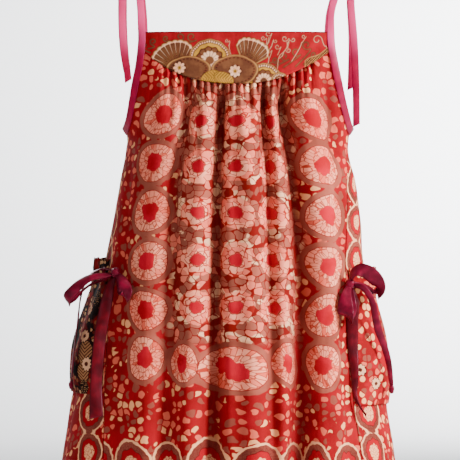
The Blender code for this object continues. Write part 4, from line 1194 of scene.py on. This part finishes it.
def pocketCotton(name, ground, groundLit, stones, cellsPerMetre, bare):
    # Wax-resist print on plain cotton: leaves and flowers on a ground of pebbles
    made, shader, add, read = newMaterial(name)
    uv = add("flatPlace")
    drawn = add("vectorAdd", uv, add("vectorScale", add("drift", uv, 80.0, 2.0), 0.004))
    away, gap, kind, size = pebbles(add, drawn, cellsPerMetre, 0.85)
    dye = add("noise", uv, 45.0, 4.0)
    colour = add("mix", add("rise", dye, 0.47, 0.56), ground, groundLit)
    inside = add("multiply", add("rise", away, 0.44, 0.36), add("rise", gap, 0.04, 0.10))
    inside = add("multiply", inside, add("rise", kind, bare, bare + 0.02))
    stone = add("mix", add("rise", size, 0.34, 0.36), stones[0], stones[1])
    stone = add("mix", add("rise", size, 0.70, 0.72), stone, stones[2])
    colour = add("mix", inside, colour, stone)
    stripes = add("sine", add("multiply", read("veins"), 19.0))
    veined = add("mix", add("rise", stripes, 0.1, 0.6), "#a06a45", "#3a150d")
    spots = add("cells", uv, 520.0, 0.35)["Distance"]
    dotted = add("mix", add("rise", spots, 0.36, 0.26), "#140504", "#b07a50")
    leaf, dots, flower = read("leaf"), read("dots"), read("flower")
    for share, outside, within, dyed in (
            (leaf, 1.12, 1.04, "#1c0705"), (leaf, 1.0, 0.94, veined), (dots, 1.0, 0.94, dotted),
            (flower, 1.14, 1.06, "#260a07"), (flower, 1.0, 0.93, "#e0a47c"), (flower, 0.40, 0.32, "#4a1a12")):
        colour = add("mix", add("rise", share, outside, within), colour, dyed)
    plug(shader, {"Base Color": colour})
    wovenFinish(add, shader, uv)
    return made


for side, (finish, slot, *looks) in pocketCottons.items():
    points, outs, down, across = pocketSurface(side)
    top, _, bottom, width, _ = pockets[side]
    u, v = np.meshgrid(across * width, down * (top - bottom))
    fields = {}
    for kind, lobes, scallop in (("leaf", 5, 0.08), ("flower", 5, 0.35), ("dots", 6, 0.1)):
        rows = [(*printPlace(points, outs, u, v, px, py), ru, rv)
                for px, py, ru, rv, motif in pocketMotifs[side] if motif == kind]
        rows += [(width - cu, cv + 6, ru, rv) for cu, cv, ru, rv in rows]
        share, wave, aside, below = nearestMotif(u, v, rows or [(-90, -90, 1, 1)], 41, lobes)[:4]
        if kind == "leaf":
            fields["veins"] = below + 0.7 * np.abs(aside)
        fields[kind] = share / (1 + scallop * (np.abs(wave) - 0.5))
    if side == "left":
        points, u, v = points[:, ::-1], u[:, ::-1], v[:, ::-1]
        fields = {kind: values[:, ::-1] for kind, values in fields.items()}
    piece = {"name": side + "Pocket", "points": points, "print": (u, v), "fields": fields,
             "material": pocketCotton(finish, *looks), "wall": walls["pocket"]}
    made = settle(layCloth(piece), "pocket_" + side)
print("pockets laid")


# Floor and backdrop: one pale sheet of seamless paper that curves up behind
paper, shader, *_ = newMaterial("Seamless paper")
plug(shader, {"Base Color": "#e9eaec", "Roughness": 0.9})
floorTop, floorStart, curveStart, curveRadius, floorHalf = -660, -4500, 3000, 1800, 3600
profile = [(floorStart, floorTop), (curveStart, floorTop)]
for turn in np.linspace(0.08, 1.104, 20):
    profile.append((curveStart + curveRadius * math.sin(turn), floorTop + curveRadius * (1 - math.cos(turn))))
paperPoints = np.array([[(x, y, z) for x in (-floorHalf, floorHalf)] for y, z in profile[::-1]])
floor = placeMesh("floor", gridMesh("floor", paperPoints), paper)

# Lamps: place, aim, size, power. The key stands well to the right, so that the folds shade. The backdrop
# has a lamp of its own.
lamps = {
    "keyLight": ((2.5, -1.15, 0.85), (0, 0, -0.3), (0.7, 0.9), 250),
    "frontLight": ((0.5, -3.2, 0.7), (0, 0, -0.3), (1.0, 1.0), 12),
    "fillLight": ((-2.2, -1.6, 0.3), (0, 0, -0.3), (1.2, 1.4), 8),
    "topLight": ((0.3, -0.6, 1.6), (0, 0, -0.2), (1.0, 0.8), 8),
    "backLight": ((-1.3, 2.2, 0.9), (0, 0, -0.2), (0.8, 1.2), 45),
    "backdropLight": ((2.4, 2.2, 1.6), (0.5, 4.7, -0.2), (0.8, 0.8), 240)}
for name, (place, aim, size, power) in lamps.items():
    lamp = bpy.data.lights.new(name, "AREA")
    lamp.shape = "RECTANGLE"
    lamp.size, lamp.size_y = size
    lamp.energy = power
    made = bpy.data.objects.new(name, lamp)
    made.location = place
    made.rotation_euler = (Vector(aim) - Vector(place)).to_track_quat("-Z", "Y").to_euler()
    bpy.context.scene.collection.objects.link(made)
bpy.data.lights["backdropLight"].spread = math.radians(90)
world = bpy.context.scene.world or bpy.data.worlds.new("Studio air")
bpy.context.scene.world = world
world.use_nodes = True
plug(world.node_tree.nodes["Background"], {"Color": "#f4f6fb", "Strength": 0.18})

# Camera: level, a long lens, framed on the upper dress as a close-up
distance, shownWidth, sensor = 3.4, 0.46, 36.0
lens = bpy.data.cameras.new("camera")
lens.sensor_width = sensor
lens.lens = sensor * distance / shownWidth
camera = bpy.data.objects.new("camera", lens)
camera.location = (-0.007, -distance - 0.03, -0.272)
camera.rotation_euler = (math.pi / 2, 0, 0)
bpy.context.scene.collection.objects.link(camera)
bpy.context.scene.camera = camera
print("stage set")
